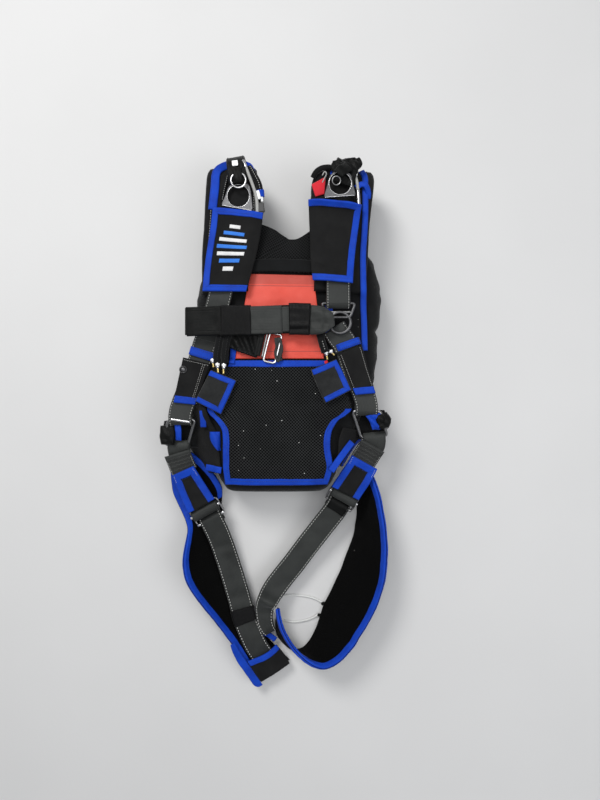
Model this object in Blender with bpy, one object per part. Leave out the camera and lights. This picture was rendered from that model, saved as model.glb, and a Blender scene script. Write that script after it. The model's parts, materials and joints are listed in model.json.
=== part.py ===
"""A packed sport parachute: container, harness and leg straps, lying with the back pad up.

Axes: +X to the wearer's right seen from above, +Y towards the shoulders, +Z up off the floor.
The origin is the centre of the container's flat underside.  Plan sizes below are millimetres.
"""
import math

import bmesh
import bpy
from mathutils import Vector
from mathutils.bvhtree import BVHTree

MM = 0.001
FINE = 0.3             # gap between pieces that touch
REST = 1.0             # clearance of a layer laid on another
WEB_WIDTH = 43.7       # harness webbing, 1 23/32 inch
WEB_THICK = 3.2        # two plies of webbing sewn together
TAPE_LIP = 8.0         # how far binding tape reaches over an edge
TAPE_WALL = 1.0        # thickness of binding tape
TAPE_SLOT = 0.6        # room between the tape and the skin of the sheet inside it
WIDE_SLOT = 1.6        # the same room where the cloth bends over something
PANEL_SLOT = 2.6       # and on the strongly curved hip panels
PAD_THICK = 7.0        # spacer foam of the back pad
SHOULDER_THICK = 9.0
LEG_PAD_THICK = 5.0
CLOTH_THICK = 1.8
RING_WIRE = 3.0        # wire radius of harness hardware

CONTAINER_MID = 50.0   # height of the container's widest line
CONTAINER_POWER = 3.2  # roundness of its cross-section
CONTAINER_LEAN = 0.067  # the pack lies turned a little: sideways shift for each step along Y
# along Y: half width, half depth
CONTAINER_STATIONS = (
    (-232, 80, 24), (-226, 90, 36), (-212, 98, 45), (-180, 112, 50), (-130, 130, 52),
    (-69, 155, 52), (0, 164, 52), (83, 166, 52), (125, 163, 52), (170, 152, 51),
    (194, 138, 47), (207, 122, 38), (212, 106, 25),
)

BLACK = (0.012, 0.013, 0.014, 1.0)
MESH_BLACK = (0.016, 0.017, 0.019, 1.0)
WEB_GREY = (0.045, 0.048, 0.047, 1.0)
BLUE = (0.008, 0.05, 0.55, 1.0)
RED = (0.75, 0.09, 0.055, 1.0)
TAB_RED = (0.5, 0.02, 0.03, 1.0)
STEEL = (0.45, 0.46, 0.48, 1.0)
WHITE = (0.75, 0.76, 0.75, 1.0)

built_trees = []       # search trees of the solids made so far, for laying cloth on them


# ---------------------------------------------------------------- helpers
def material(name, color, roughness, metallic=0.0):
    shader = bpy.data.materials.new(name)
    shader.use_nodes = True
    principled = shader.node_tree.nodes["Principled BSDF"]
    principled.inputs["Base Color"].default_value = color
    principled.inputs["Roughness"].default_value = roughness
    principled.inputs["Metallic"].default_value = metallic
    return shader


def add_solid(name, verts, faces, look, smooth=True):
    """Make one closed body from points in millimetres, faces pointing out."""
    mesh = bpy.data.meshes.new(name)
    mesh.from_pydata([Vector(v) * MM for v in verts], [], faces)
    body = bmesh.new()
    body.from_mesh(mesh)
    bmesh.ops.recalc_face_normals(body, faces=body.faces)
    if body.calc_volume(signed=True) < 0:
        bmesh.ops.reverse_faces(body, faces=body.faces)
    body.to_mesh(mesh)
    body.free()
    if smooth:
        mesh.shade_smooth()
        mesh.set_sharp_from_angle(angle=math.radians(35))
    thing = bpy.data.objects.new(name, mesh)
    bpy.context.scene.collection.objects.link(thing)
    mesh.materials.append(look)
    remember(verts, faces)
    return thing


def remember(verts, faces):
    """Keep a search tree of a solid so that later cloth can lie on it."""
    low = [min(v[k] for v in verts) for k in range(2)]
    high = [max(v[k] for v in verts) for k in range(2)]
    built_trees.append((low, high, BVHTree.FromPolygons([Vector(v) for v in verts], faces)))


def top_below(x, y, reach):
    """Highest point of anything built so far within reach of (x, y), or zero for the floor."""
    best = 0.0
    spots = [(0.0, 0.0)]
    for part in (1.0, 0.66, 0.33):
        far = reach * part
        spots += [(far * math.cos(a * math.pi / 4), far * math.sin(a * math.pi / 4)) for a in range(8)]
    for dx, dy in spots:
        px = x + dx
        py = y + dy
        for low, high, tree in built_trees:
            if low[0] <= px <= high[0] and low[1] <= py <= high[1]:
                hit = tree.ray_cast(Vector((px, py, 500.0)), Vector((0, 0, -1)))[0]
                if hit is not None:
                    best = max(best, hit.z)
    return best


def curve_through(points, steps):
    """Smooth line through the points, with the given steps between each two."""
    pts = [Vector(p) for p in points]
    line = []
    for k in range(len(pts) - 1):
        before = pts[max(k - 1, 0)]
        start = pts[k]
        end = pts[k + 1]
        after = pts[min(k + 2, len(pts) - 1)]
        for s in range(steps):
            t = s / steps
            line.append(0.5 * (2 * start + (end - before) * t
                               + (2 * before - 5 * start + 4 * end - after) * t * t
                               + (3 * start - before - 3 * end + after) * t ** 3))
    line.append(pts[-1])
    return line


def grid_between(left, right, steps, cols, bow=1.0, crown=0.0):
    """Rows of points from the left edge to the right edge; bow bends their rise, crown lifts the middle."""
    edge_a = curve_through(left, steps)
    edge_b = curve_through(right, steps)
    grid = []
    for a, b in zip(edge_a, edge_b):
        row = []
        for c in range(cols + 1):
            t = c / cols
            point = a.lerp(b, t)
            if a.z >= b.z:
                point.z = b.z + (a.z - b.z) * (1 - t) ** bow
            else:
                point.z = a.z + (b.z - a.z) * t ** bow
            point.z += crown * math.sin(math.pi * t)
            row.append(point)
        grid.append(row)
    return grid


def lay(grid, thick, under=REST, reach=4.0, stiff=False, passes=12, free=()):
    """Lift a grid so that it rests on what is built, spanning hollows like taut cloth.

    The rows named in free, where a web turns round a ring, keep their own heights.
    """
    rows = len(grid)
    cols = len(grid[0])
    need = [[max(0.0, top_below(p.x, p.y, reach) + under + thick / 2 - p.z) for p in row] for row in grid]
    if stiff:
        for i, row in enumerate(grid):
            middle = row[0].lerp(row[-1], 0.5)
            floor_need = top_below(middle.x, middle.y, reach) + under + thick / 2 - middle.z
            need[i] = [max(max(need[i]), floor_need)] * cols
    held = {k % rows for k in free}
    for i in held:
        need[i] = [0.0] * cols
    lift = [row[:] for row in need]
    for _ in range(passes):
        fresh = [row[:] for row in lift]
        for i in range(rows):
            if i in held:
                continue
            for j in range(cols):
                near = [lift[a][b] for a, b in ((i - 1, j), (i + 1, j), (i, j - 1), (i, j + 1))
                        if 0 <= a < rows and 0 <= b < cols]
                fresh[i][j] = max(need[i][j], sum(near) / len(near) * 0.92)
        lift = fresh
    for i in range(rows):
        for j in range(cols):
            grid[i][j].z += lift[i][j]
    return grid


def grid_normals(grid):
    rows = len(grid)
    cols = len(grid[0])
    normals = []
    for i in range(rows):
        line = []
        for j in range(cols):
            along = grid[min(i + 1, rows - 1)][j] - grid[max(i - 1, 0)][j]
            across = grid[i][min(j + 1, cols - 1)] - grid[i][max(j - 1, 0)]
            line.append(across.cross(along).normalized())
        normals.append(line)
    return normals


def sheet(name, grid, thick, look):
    """A solid of even thickness on both sides of the grid."""
    rows = len(grid)
    cols = len(grid[0])
    normals = grid_normals(grid)
    verts = []
    for side in (0.5, -0.5):
        for i in range(rows):
            for j in range(cols):
                verts.append(grid[i][j] + normals[i][j] * thick * side)
    count = rows * cols
    faces = []
    for i in range(rows - 1):
        for j in range(cols - 1):
            a = i * cols + j
            faces.append((a, a + 1, a + cols + 1, a + cols))
            faces.append((count + a, count + a + cols, count + a + cols + 1, count + a + 1))
    rim = [i * cols + j for i, j in rim_cells(rows, cols)]
    for k, a in enumerate(rim):
        b = rim[(k + 1) % len(rim)]
        faces.append((a, b, count + b, count + a))
    return add_solid(name, verts, faces, look)


def rim_cells(rows, cols):
    """Border cells in order: first row, right side, last row back, left side back."""
    cells = [(0, j) for j in range(cols)]
    cells += [(i, cols - 1) for i in range(1, rows)]
    cells += [(rows - 1, j) for j in range(cols - 2, -1, -1)]
    cells += [(i, 0) for i in range(rows - 2, 0, -1)]
    return cells


def beside_border(grid, normals, lift, i, j, depth):
    """Point on a sheet's skin, lift above its middle, at a depth in from the border point (i, j)."""
    rows = len(grid)
    cols = len(grid[0])
    di = 1 if i == 0 else -1 if i == rows - 1 else 0
    dj = 1 if j == 0 else -1 if j == cols - 1 else 0

    def skin(a, b):
        return grid[a][b] + normals[a][b] * lift

    u = depth / (grid[i + di][j] - grid[i][j]).length if di else 0.0
    v = depth / (grid[i][j + dj] - grid[i][j]).length if dj else 0.0
    near = skin(i, j).lerp(skin(i + di, j), u)
    far = skin(i, j + dj).lerp(skin(i + di, j + dj), u)
    return near.lerp(far, v)


def binding(name, grid, thick, look, first=0, last=None, lip=TAPE_LIP, slot=TAPE_SLOT):
    """Folded tape around part of a sheet's border, from one border cell to another."""
    rim = rim_cells(len(grid), len(grid[0]))
    closed = last is None
    if closed:
        cells = rim
    else:
        span = (last - first) % len(rim)
        cells = [rim[(first + k) % len(rim)] for k in range(span + 1)]
    normals = grid_normals(grid)
    wall = slot + TAPE_WALL
    profile = ((-wall, 1, wall), (lip, 1, wall), (lip, 1, slot), (-slot, 1, slot),
               (-slot, -1, slot), (lip, -1, slot), (lip, -1, wall), (-wall, -1, wall))
    verts = []
    for i, j in cells:
        for depth, side, clear in profile:
            skin = beside_border(grid, normals, side * thick / 2, i, j, depth)
            verts.append(skin + normals[i][j] * side * clear)
    return add_solid(name, verts, ring_faces(len(cells), len(profile), closed), look, smooth=False)


def ring_faces(count, around, closed):
    """Faces of a swept profile: sides, and caps when it is open."""
    faces = []
    spans = count if closed else count - 1
    for k in range(spans):
        a = k * around
        b = ((k + 1) % count) * around
        for m in range(around):
            n = (m + 1) % around
            faces.append((a + m, a + n, b + n, b + m))
    if not closed:
        faces.append(tuple(range(around)))
        faces.append(tuple((count - 1) * around + m for m in range(around)))
    return faces


def web_grid(path, width, steps, tilt=0.0):
    """Two edges of a flat strap whose middle follows the path; tilt rolls it, left edge down."""
    line = curve_through(path, steps)
    heading = None
    grid = []
    for k, point in enumerate(line):
        ahead = line[min(k + 1, len(line) - 1)] - line[max(k - 1, 0)]
        flat = Vector((ahead.x, ahead.y, 0))
        if heading is None:
            heading = flat.normalized()
        elif flat.length > 0.5 * ahead.length:
            heading = flat.normalized() * math.copysign(1.0, flat.dot(heading))
        side = Vector((heading.y, -heading.x, 0)) * math.cos(tilt) + Vector((0, 0, math.sin(tilt)))
        grid.append([point - side * width / 2, point + side * width / 2])
    return grid


def sleeve(name, grid, thick, look):
    """An elastic keeper around a strap, following the rows of the strap's grid."""
    normals = grid_normals(grid)
    wall = 1.4
    verts = []
    for row, lines in zip(grid, normals):
        across = (row[-1] - row[0]).normalized()
        for extra in (FINE + wall, FINE):
            high = thick / 2 + extra
            verts.append(row[0] - across * extra + lines[0] * high)
            verts.append(row[-1] + across * extra + lines[-1] * high)
            verts.append(row[-1] + across * extra - lines[-1] * high)
            verts.append(row[0] - across * extra - lines[0] * high)
    faces = []
    for k in range(len(grid) - 1):
        a = k * 8
        b = a + 8
        for m in range(4):
            n = (m + 1) % 4
            faces.append((a + m, a + n, b + n, b + m))
            faces.append((a + 4 + m, b + 4 + m, b + 4 + n, a + 4 + n))
    for a in (0, (len(grid) - 1) * 8):
        for m in range(4):
            n = (m + 1) % 4
            faces.append((a + m, a + n, a + 4 + n, a + 4 + m))
    return add_solid(name, verts, faces, look, smooth=False)


def rounded_loop(corners, radius, steps=4):
    """Closed loop of points with each corner rounded."""
    loop = []
    count = len(corners)
    for k in range(count):
        here = Vector(corners[k])
        before = (Vector(corners[k - 1]) - here).normalized()
        after = (Vector(corners[(k + 1) % count]) - here).normalized()
        start = here + before * radius
        end = here + after * radius
        for s in range(steps + 1):
            t = s / steps
            loop.append(start * (1 - t) ** 2 + here * 2 * t * (1 - t) + end * t ** 2)
    return loop


def wire_loop(name, loop, wire, look, around=8):
    """Closed round wire through a flat loop of points."""
    count = len(loop)
    middle = sum(loop, Vector((0, 0, 0))) / count
    axis = Vector((0, 0, 0))
    for k in range(count):
        axis += (loop[k] - middle).cross(loop[(k + 1) % count] - middle)
    axis.normalize()
    verts = []
    for k in range(count):
        ahead = (loop[(k + 1) % count] - loop[k - 1]).normalized()
        side = ahead.cross(axis).normalized()
        for m in range(around):
            angle = 2 * math.pi * m / around
            verts.append(loop[k] + (side * math.cos(angle) + axis * math.sin(angle)) * wire)
    return add_solid(name, verts, ring_faces(count, around, True), look)


def circle_loop(centre, radius, right, down, count=20):
    """Points of a circle in the plane of two unit directions."""
    turn = 2 * math.pi / count
    return [centre + (right * math.cos(turn * k) + down * math.sin(turn * k)) * radius for k in range(count)]


def join_by_union(kept, guide):
    """Weld a second solid into the first one."""
    weld = kept.modifiers.new("weld", "BOOLEAN")
    weld.operation = "UNION"
    weld.solver = "EXACT"
    weld.object = guide
    guide.hide_render = True
    guide.display_type = "WIRE"
    guide.data.materials.clear()


# ---------------------------------------------------------------- container and pads
def container_station(y):
    """Half width and half depth of the container at a place along Y."""
    stations = CONTAINER_STATIONS
    for (y0, w0, h0), (y1, w1, h1) in zip(stations, stations[1:]):
        if y0 <= y <= y1:
            t = (y - y0) / (y1 - y0)
            return w0 + (w1 - w0) * t, h0 + (h1 - h0) * t
    return None


def make_container(look):
    around = 32
    verts = []
    for y, half, depth in CONTAINER_STATIONS:
        middle = CONTAINER_LEAN * y - 6
        for k in range(around):
            angle = 2 * math.pi * (k + 0.5) / around
            flat = math.copysign(abs(math.cos(angle)) ** (2 / CONTAINER_POWER), math.cos(angle))
            rise = math.copysign(abs(math.sin(angle)) ** (2 / CONTAINER_POWER), math.sin(angle))
            verts.append((middle + half * flat, y, max(0.0, CONTAINER_MID + depth * rise)))
    add_solid("container", verts, ring_faces(len(CONTAINER_STATIONS), around, False), look)


def make_back_pad(mesh_look, tape_look, label_look):
    left = [(-97, 2, 0), (-120, -40, 0), (-138, -80, 0), (-124, -99, 0), (-111, -118, 0),
            (-110, -150, 0), (-110, -182, 0), (-107, -209, 0)]
    right = [(66, 2, 0), (92, -40, 0), (110, -80, 0), (88, -99, 0), (75, -120, 0),
             (73, -150, 0), (77, -181, 0), (69, -209, 0)]
    grid = grid_between(left, right, 2, 6)
    lay(grid, PAD_THICK, under=TAPE_WALL + TAPE_SLOT + REST)
    sheet("back_pad", grid, PAD_THICK, mesh_look)
    binding("back_pad_binding", grid, PAD_THICK, tape_look)

    left = [(-90, 7, 0), (-80, 60, 0), (-72, 110, 0), (-65, 153, 0)]
    right = [(63, 7, 0), (56, 60, 0), (50, 110, 0), (45, 150, 0)]
    grid = grid_between(left, right, 2, 4)
    lay(grid, 1.2, under=1.5, reach=2)
    sheet("label_panel", grid, 1.2, label_look)


def make_yoke(mesh_look):
    """Pad behind the neck; its upper edge is the shallow V of the neckline."""
    lower = [(-64, 158, 102), (-38, 158, 104), (-10, 158, 104), (18, 156, 104), (44, 155, 102)]
    upper = [(-44, 238, 98), (-22, 229, 98), (1, 214, 96), (18, 214, 96), (37, 225, 98)]
    grid = grid_between(upper, lower, 2, 5)
    lay(grid, 5.0)
    sheet("yoke_pad", grid, 5.0, mesh_look)


def make_wings(look, tape_look):
    """Lateral pads that reach from the sides of the back pad to the hip rings."""
    inner = [(-145, -95, 84), (-131, -112, 86), (-124, -130, 86), (-122, -155, 84), (-120, -180, 80)]
    outer = [(-190, -98, 56), (-180, -115, 52), (-164, -135, 52), (-146, -158, 54), (-128, -184, 60)]
    grid = grid_between(outer, inner, 2, 3)
    lay(grid, 4.0)
    sheet("wing_left", grid, 4.0, look)

    inner = [(97, -114, 88), (93, -124, 88), (90, -137, 87), (89, -157, 84), (86, -176, 80)]
    outer = [(146, -124, 44), (135, -132, 44), (122, -144, 46), (109, -161, 52), (96, -182, 60)]
    grid = grid_between(inner, outer, 2, 3)
    lay(grid, 4.0, under=TAPE_WALL + TAPE_SLOT + REST)
    sheet("wing_right", grid, 4.0, look)
    rows = len(grid)
    binding("wing_right_binding", grid, 4.0, tape_look, first=3, last=3 + rows - 1, lip=6)


# ---------------------------------------------------------------- shoulders
SHOULDERS = {
    "left": (
        [(-146, 122, 84), (-146, 180, 92), (-141, 235, 102), (-138, 290, 104), (-137, 325, 94),
         (-136, 342, 72), (-136, 338, 44), (-136, 315, 24), (-136, 275, 14), (-134, 228, 12)],
        [(-70, 125, 104), (-66, 180, 106), (-52, 235, 110), (-48, 290, 110), (-55, 325, 100),
         (-58, 342, 74), (-60, 338, 44), (-60, 315, 24), (-58, 275, 14), (-60, 228, 12)],
    ),
    "right": (
        [(49, 125, 104), (49, 180, 106), (42, 232, 110), (44, 285, 110), (52, 320, 100),
         (56, 338, 74), (58, 334, 44), (60, 312, 24), (60, 272, 14), (60, 228, 12)],
        [(132, 122, 88), (137, 180, 92), (139, 235, 102), (145, 290, 104), (148, 318, 94),
         (147, 336, 72), (146, 332, 44), (146, 312, 24), (145, 272, 14), (143, 228, 12)],
    ),
}


def make_shoulder_pads(look):
    for side, (left, right) in SHOULDERS.items():
        grid = grid_between(left, right, 2, 4)
        lay(grid, SHOULDER_THICK, reach=5)
        sheet("shoulder_pad_" + side, grid, SHOULDER_THICK, look)


def make_shoulder_bindings(look):
    """Blue tape on the outer side of each shoulder."""
    routes = {
        "left": [(-66, 336, 92), (-72, 343, 86), (-88, 347, 84), (-106, 345, 88), (-122, 330, 96),
                 (-124, 300, 100), (-128, 262, 100)],
        "right": [(129, 334, 88), (134, 320, 96), (134, 298, 100), (134, 260, 100), (133, 225, 98),
                  (131, 190, 94), (131, 155, 90), (132, 108, 86), (134, 60, 84), (135, 22, 84)],
    }
    for side, route in routes.items():
        grid = web_grid(route, 7.0, 3)
        lay(grid, 2.4, stiff=True)
        sheet("shoulder_binding_" + side, grid, 2.4, look)


def make_risers(look):
    """Riser webs that turn over the top of the shoulders and run back underneath."""
    routes = {
        "left": ([(-83, 303, 122), (-85, 320, 124), (-88, 340, 119), (-90, 354, 102), (-90, 358, 76),
                  (-90, 352, 46), (-90, 330, 17), (-90, 300, 4.5), (-90, 268, 3)], 29.0),
        "right": ([(92, 303, 122), (98, 320, 124), (104, 338, 118), (106, 350, 102), (106, 354, 76),
                   (106, 348, 46), (106, 326, 17), (106, 296, 4.5), (106, 264, 3)], 38.0),
    }
    for side, (route, width) in routes.items():
        grid = web_grid(route, width, 2)
        sheet("riser_" + side, grid, 3.0, look)


def make_harness_rings(look):
    """Forged base rings: a round eye joined to a slot for the webbing, and the small riser rings."""
    places = {
        "left": ((-82, 281), (-110, 264), (-58, 254), (-82, 306)),
        "right": ((89, 299), (62, 274), (117, 277), (91, 312)),
    }
    for side, (eye, slot_left, slot_right, small) in places.items():
        level = top_below(eye[0], eye[1], 16) + RING_WIRE + REST
        level = max(level, top_below(slot_left[0] + 8, slot_left[1], 5) + RING_WIRE + REST)
        level = max(level, top_below(eye[0], eye[1] - 16, 6) + RING_WIRE + REST)
        centre = Vector((eye[0], eye[1], level))
        eye_loop = circle_loop(centre, 16.5, Vector((1, 0, 0)), Vector((0, 1, 0)))
        ring = wire_loop("harness_ring_" + side, eye_loop, RING_WIRE, look)
        a = Vector((slot_left[0], slot_left[1], level))
        b = Vector((slot_right[0], slot_right[1], level))
        c = centre + Vector((15, -7, 0))
        d = centre + Vector((-15, -7, 0))
        slot = wire_loop("slot_guide_" + side, rounded_loop([a, b, c, d], 3.5), RING_WIRE - 0.2, look)
        join_by_union(ring, slot)
        height = top_below(small[0], small[1], 12) + 2.0 + REST
        small_loop = circle_loop(Vector((small[0], small[1], height)), 11.5, Vector((1, 0, 0)),
                                 Vector((0, 1, 0)), count=16)
        wire_loop("riser_ring_" + side, small_loop, 2.0, look, around=6)


def make_mud_flaps(look, tape_look):
    """Covers over the rings' webbing, bound along the top, the outer side and the bottom."""
    edges = {
        "left": ([(-125, 261, 112), (-130, 222, 112), (-138, 172, 110), (-143, 122, 108)],
                 [(-41, 252, 112), (-47, 212, 112), (-56, 172, 110), (-70, 121, 108)], 1),
        "right": ([(37, 273, 112), (39, 222, 112), (41, 173, 110), (44, 140, 108)],
                  [(125, 264, 112), (119, 222, 112), (113, 173, 110), (110, 134, 108)], 0),
    }
    for side, (left, right, outer_is_left) in edges.items():
        grid = grid_between(left, right, 3, 5, crown=3)
        lay(grid, CLOTH_THICK, under=TAPE_WALL + WIDE_SLOT + REST, reach=13, passes=40)
        sheet("mud_flap_" + side, grid, CLOTH_THICK, look)
        rows = len(grid)
        cols = len(grid[0])
        if outer_is_left:
            first = cols + rows - 2
            last = cols - 1
        else:
            first = 0
            last = 2 * cols + rows - 3
        binding("mud_flap_binding_" + side, grid, CLOTH_THICK, tape_look, first, last, slot=WIDE_SLOT)


# ---------------------------------------------------------------- lift webs and chest
def make_lift_webs(look):
    left = [(-84, 246, 114), (-93, 215, 114), (-104, 170, 112), (-117, 107, 110), (-132, 60, 104),
            (-145, 28, 98), (-160, -20, 94), (-177, -58, 93), (-186.5, -86, 94), (-187, -101, 94.2),
            (-187, -107.5, 88), (-187, -101, 81.8), (-187, -90, 81.8)]
    grid = web_grid(left, 38.0, 2)
    lay(grid, WEB_THICK, stiff=True, free=range(-8, 0))
    sheet("main_lift_web_left", grid, WEB_THICK, look)

    upper = [(88, 262, 114), (88, 215, 114), (87, 170, 116), (87, 130, 121), (87, 110, 123),
             (87, 99, 124.2), (87, 92.6, 118), (87, 99, 111.8), (87, 109, 109)]
    grid = web_grid(upper, 38.0, 2)
    lay(grid, WEB_THICK, stiff=True, passes=2, free=range(-8, 0))
    sheet("main_lift_web_right", grid, WEB_THICK, look)

    lower = [(100, 34, 106), (106, 12, 106), (116, -20, 104), (130, -50, 104), (136.5, -71, 106),
             (137, -84, 106.2), (137, -90.4, 100), (137, -84, 93.8), (136, -74, 93.8)]
    grid = web_grid(lower, 36.0, 2)
    lay(grid, WEB_THICK, stiff=True, free=range(-8, 0))
    sheet("lower_lift_web_right", grid, WEB_THICK, look)


def make_chest(web_look, black_look, steel_look):
    level = 118.0
    centre = Vector((90, 68, level))
    ring = wire_loop("chest_ring", circle_loop(centre, 17, Vector((1, 0, 0)), Vector((0, 1, 0))),
                     RING_WIRE, steel_look)
    corners = [(59, 99, level), (114, 99, level), (107, 74, level), (73, 74, level)]
    slot = wire_loop("chest_slot_guide", rounded_loop([Vector(c) for c in corners], 4), RING_WIRE - 0.2,
                     steel_look)
    join_by_union(ring, slot)

    tail = [(-112, 56, 112), (-94, 48, 113), (-75, 39, 113), (-46, 29, 113)]
    grid = web_grid(tail, WEB_WIDTH, 2)
    lay(grid, 2.4, stiff=True)
    sheet("chest_tail", grid, 2.4, web_look)
    height = grid[-1][0].z
    for x, y in ((-40, 6), (-22, 4), (-10, 44), (-14, 25)):
        height = max(height, top_below(x, y, 5) + 2.4 + REST)
    frame = [Vector((-40, 3, height)), Vector((-22, -1, height)), Vector((-10, 46, height)),
             Vector((-28, 50, height))]
    wire_loop("chest_adapter", rounded_loop(frame, 5), 2.4, steel_look)

    strap = [(-170, 68, 118), (-130, 69, 120), (-108, 69.5, 122), (-84, 70, 122), (-55, 70, 122),
             (-25, 71, 122), (0, 72, 122), (20, 72, 122), (38, 71, 122), (62, 70, 122)]
    grid = web_grid(strap, 48.0, 1)
    lay(grid, WEB_THICK, under=3.0, stiff=True, passes=30)
    sheet("chest_strap", grid, WEB_THICK, web_look)
    sleeve("chest_keeper_left", grid[2:4], WEB_THICK, black_look)
    sleeve("chest_keeper_right", grid[6:9], WEB_THICK, black_look)


# ---------------------------------------------------------------- pockets and handles
def make_pockets(look, tape_look):
    """Cloth sleeves over the lower lift webs, bound along their lower end."""
    edges = {
        "left": ([(-180, 8, 90), (-189, -30, 90), (-197, -68, 80)],
                 [(-134, -3, 96), (-147, -38, 92), (-160, -72, 84)]),
        "right": ([(88, 14, 96), (103, -22, 92), (117, -55, 84)],
                  [(127, 30, 90), (139, -12, 90), (151, -52, 80)]),
    }
    for side, (left, right) in edges.items():
        grid = grid_between(left, right, 3, 4, crown=2)
        lay(grid, CLOTH_THICK, under=TAPE_WALL + TAPE_SLOT + REST, reach=13)
        sheet("pocket_" + side, grid, CLOTH_THICK, look)
        rows = len(grid)
        cols = len(grid[0])
        binding("pocket_binding_" + side, grid, CLOTH_THICK, tape_look,
                cols + rows - 2, 2 * cols + rows - 3, lip=7)


def make_handles(look, tape_look):
    """Pillow handles tucked beside the pockets, bound on three sides."""
    thick = 6.0
    edges = {
        "left": ([(-130, -16, 108), (-143, -41, 108), (-156, -66, 106)],
                 [(-89, -33, 110), (-101, -60, 110), (-114, -87, 108)]),
        "right": ([(43, -15, 110), (54, -42, 110), (66, -68, 108)],
                  [(83, 2, 110), (96, -23, 110), (107, -47, 106)]),
    }
    for side, (left, right) in edges.items():
        grid = grid_between(left, right, 3, 3, crown=2.5)
        lay(grid, thick, under=TAPE_WALL + TAPE_SLOT + 2 * REST, reach=7)
        sheet("handle_" + side, grid, thick, look)
        rows = len(grid)
        cols = len(grid[0])
        if side == "left":
            first = cols + rows - 2
            last = cols - 1
        else:
            first = 0
            last = 2 * cols + rows - 3
        binding("handle_binding_" + side, grid, thick, tape_look, first, last, lip=7)


# ---------------------------------------------------------------- hips and legs
def make_hip_rings(look):
    corners = {
        "left": [(-210, -101, 88), (-163, -101, 88), (-172, -145, 70), (-216, -145, 70)],
        "right": [(113, -84, 100), (161, -84, 100), (176, -128, 80), (130, -132, 80)],
    }
    for side, points in corners.items():
        loop = rounded_loop([Vector(p) for p in points], 6)
        wire_loop("hip_ring_" + side, loop, RING_WIRE, look)


GATHERED = (0.96, 0.88, 0.8, 0.74, 0.68, 0.64)  # how the right leg strap narrows towards its sewn end

LEG_PADS = {
    "left": (
        [(-213, -192, 46), (-209, -233, 42), (-193, -270, 40), (-182, -302, 46), (-186, -350, 64),
         (-181, -386, 68), (-165, -418, 62), (-134, -465, 48), (-104, -512, 34), (-80, -556, 24),
         (-60, -596, 18)],
        [(-176, -162, 44), (-146, -190, 40), (-124, -226, 32), (-126, -262, 16), (-118, -312, 6),
         (-108, -352, 5), (-98, -392, 5), (-86, -432, 5), (-66, -478, 5), (-36, -520, 5), (0, -556, 5)],
    ),
    "right": (
        [(150, -198, 62), (163, -240, 76), (172, -300, 84), (173, -345, 85), (167, -395, 84),
         (151, -440, 82), (127, -483, 80), (98, -522, 78), (66, -542, 75), (35, -532, 70),
         (8, -508, 62), (-11, -478, 52), (-18, -446, 46)],
        [(122, -215, 34), (130, -258, 10), (128, -307, 5), (114, -350, 5), (97, -392, 5),
         (81, -428, 5), (66, -458, 5), (58, -484, 5), (46, -512, 5), (28, -534, 5),
         (6, -536, 5), (-18, -512, 5), (-23, -482, 6), (-20, -447, 10)],
    ),
}


def make_leg_pads(look, tape_look):
    """Leg pads: shaped foam bands whose outer edge stands up off the floor."""
    outer, inner = LEG_PADS["left"]
    grid = grid_between(outer, inner, 2, 4, bow=2.0)
    sheet("leg_pad_left", grid, LEG_PAD_THICK, look)
    rows = len(grid)
    cols = len(grid[0])
    rim = 2 * (rows + cols) - 4
    binding("leg_pad_binding_left", grid, LEG_PAD_THICK, tape_look, rim - rows + 1, cols - 1 + 5,
            slot=1.4)

    outer, inner = LEG_PADS["right"]
    grid = grid_between(inner, outer, 2, 4)
    sheet("leg_pad_right", grid, LEG_PAD_THICK, look)
    rows = len(grid)
    binding("leg_pad_binding_right", grid, LEG_PAD_THICK, tape_look, cols - 1, cols - 1 + rows - 1,
            slot=1.4)


def make_leg_hangers(look):
    """Webs from the hip rings down to the leg adapters."""
    routes = {
        "left": [(-194, -158, 63), (-194, -145, 63.8), (-194, -138.6, 70), (-194, -145, 76.2),
                 (-193, -160, 72), (-184, -194, 63), (-172, -225, 58), (-163, -242, 56),
                 (-156, -254.5, 54.2), (-152.9, -260.1, 48), (-156, -254.5, 41.8), (-162, -244, 41.8)],
        "right": [(154, -142, 73), (153, -130, 73.8), (152.4, -123.6, 80), (153, -130, 86.2),
                  (153, -144, 83), (143, -166, 76), (127, -192, 69), (114, -217, 64),
                  (107, -229, 62.2), (103.9, -234.6, 56), (107, -229, 49.8), (113, -218.4, 49.8)],
    }
    for side, route in routes.items():
        grid = web_grid(route, 36.0, 2)
        lay(grid, WEB_THICK, stiff=True, passes=3, free=[*range(7), *range(-7, 0)])
        sheet("leg_hanger_" + side, grid, WEB_THICK, look)


def make_leg_adapters(look):
    """Adapters that let the leg strap be tightened: a wire frame with the web over each long bar."""
    corners = {
        "left": [(-180, -268, 48), (-132, -241, 48), (-117, -268, 40), (-165, -295, 40)],
        "right": [(84, -216, 56), (130, -242, 56), (115, -267, 46), (69, -241, 46)],
    }
    for side, points in corners.items():
        loop = rounded_loop([Vector(p) for p in points], 5)
        wire_loop("leg_adapter_" + side, loop, RING_WIRE, look)


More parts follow.
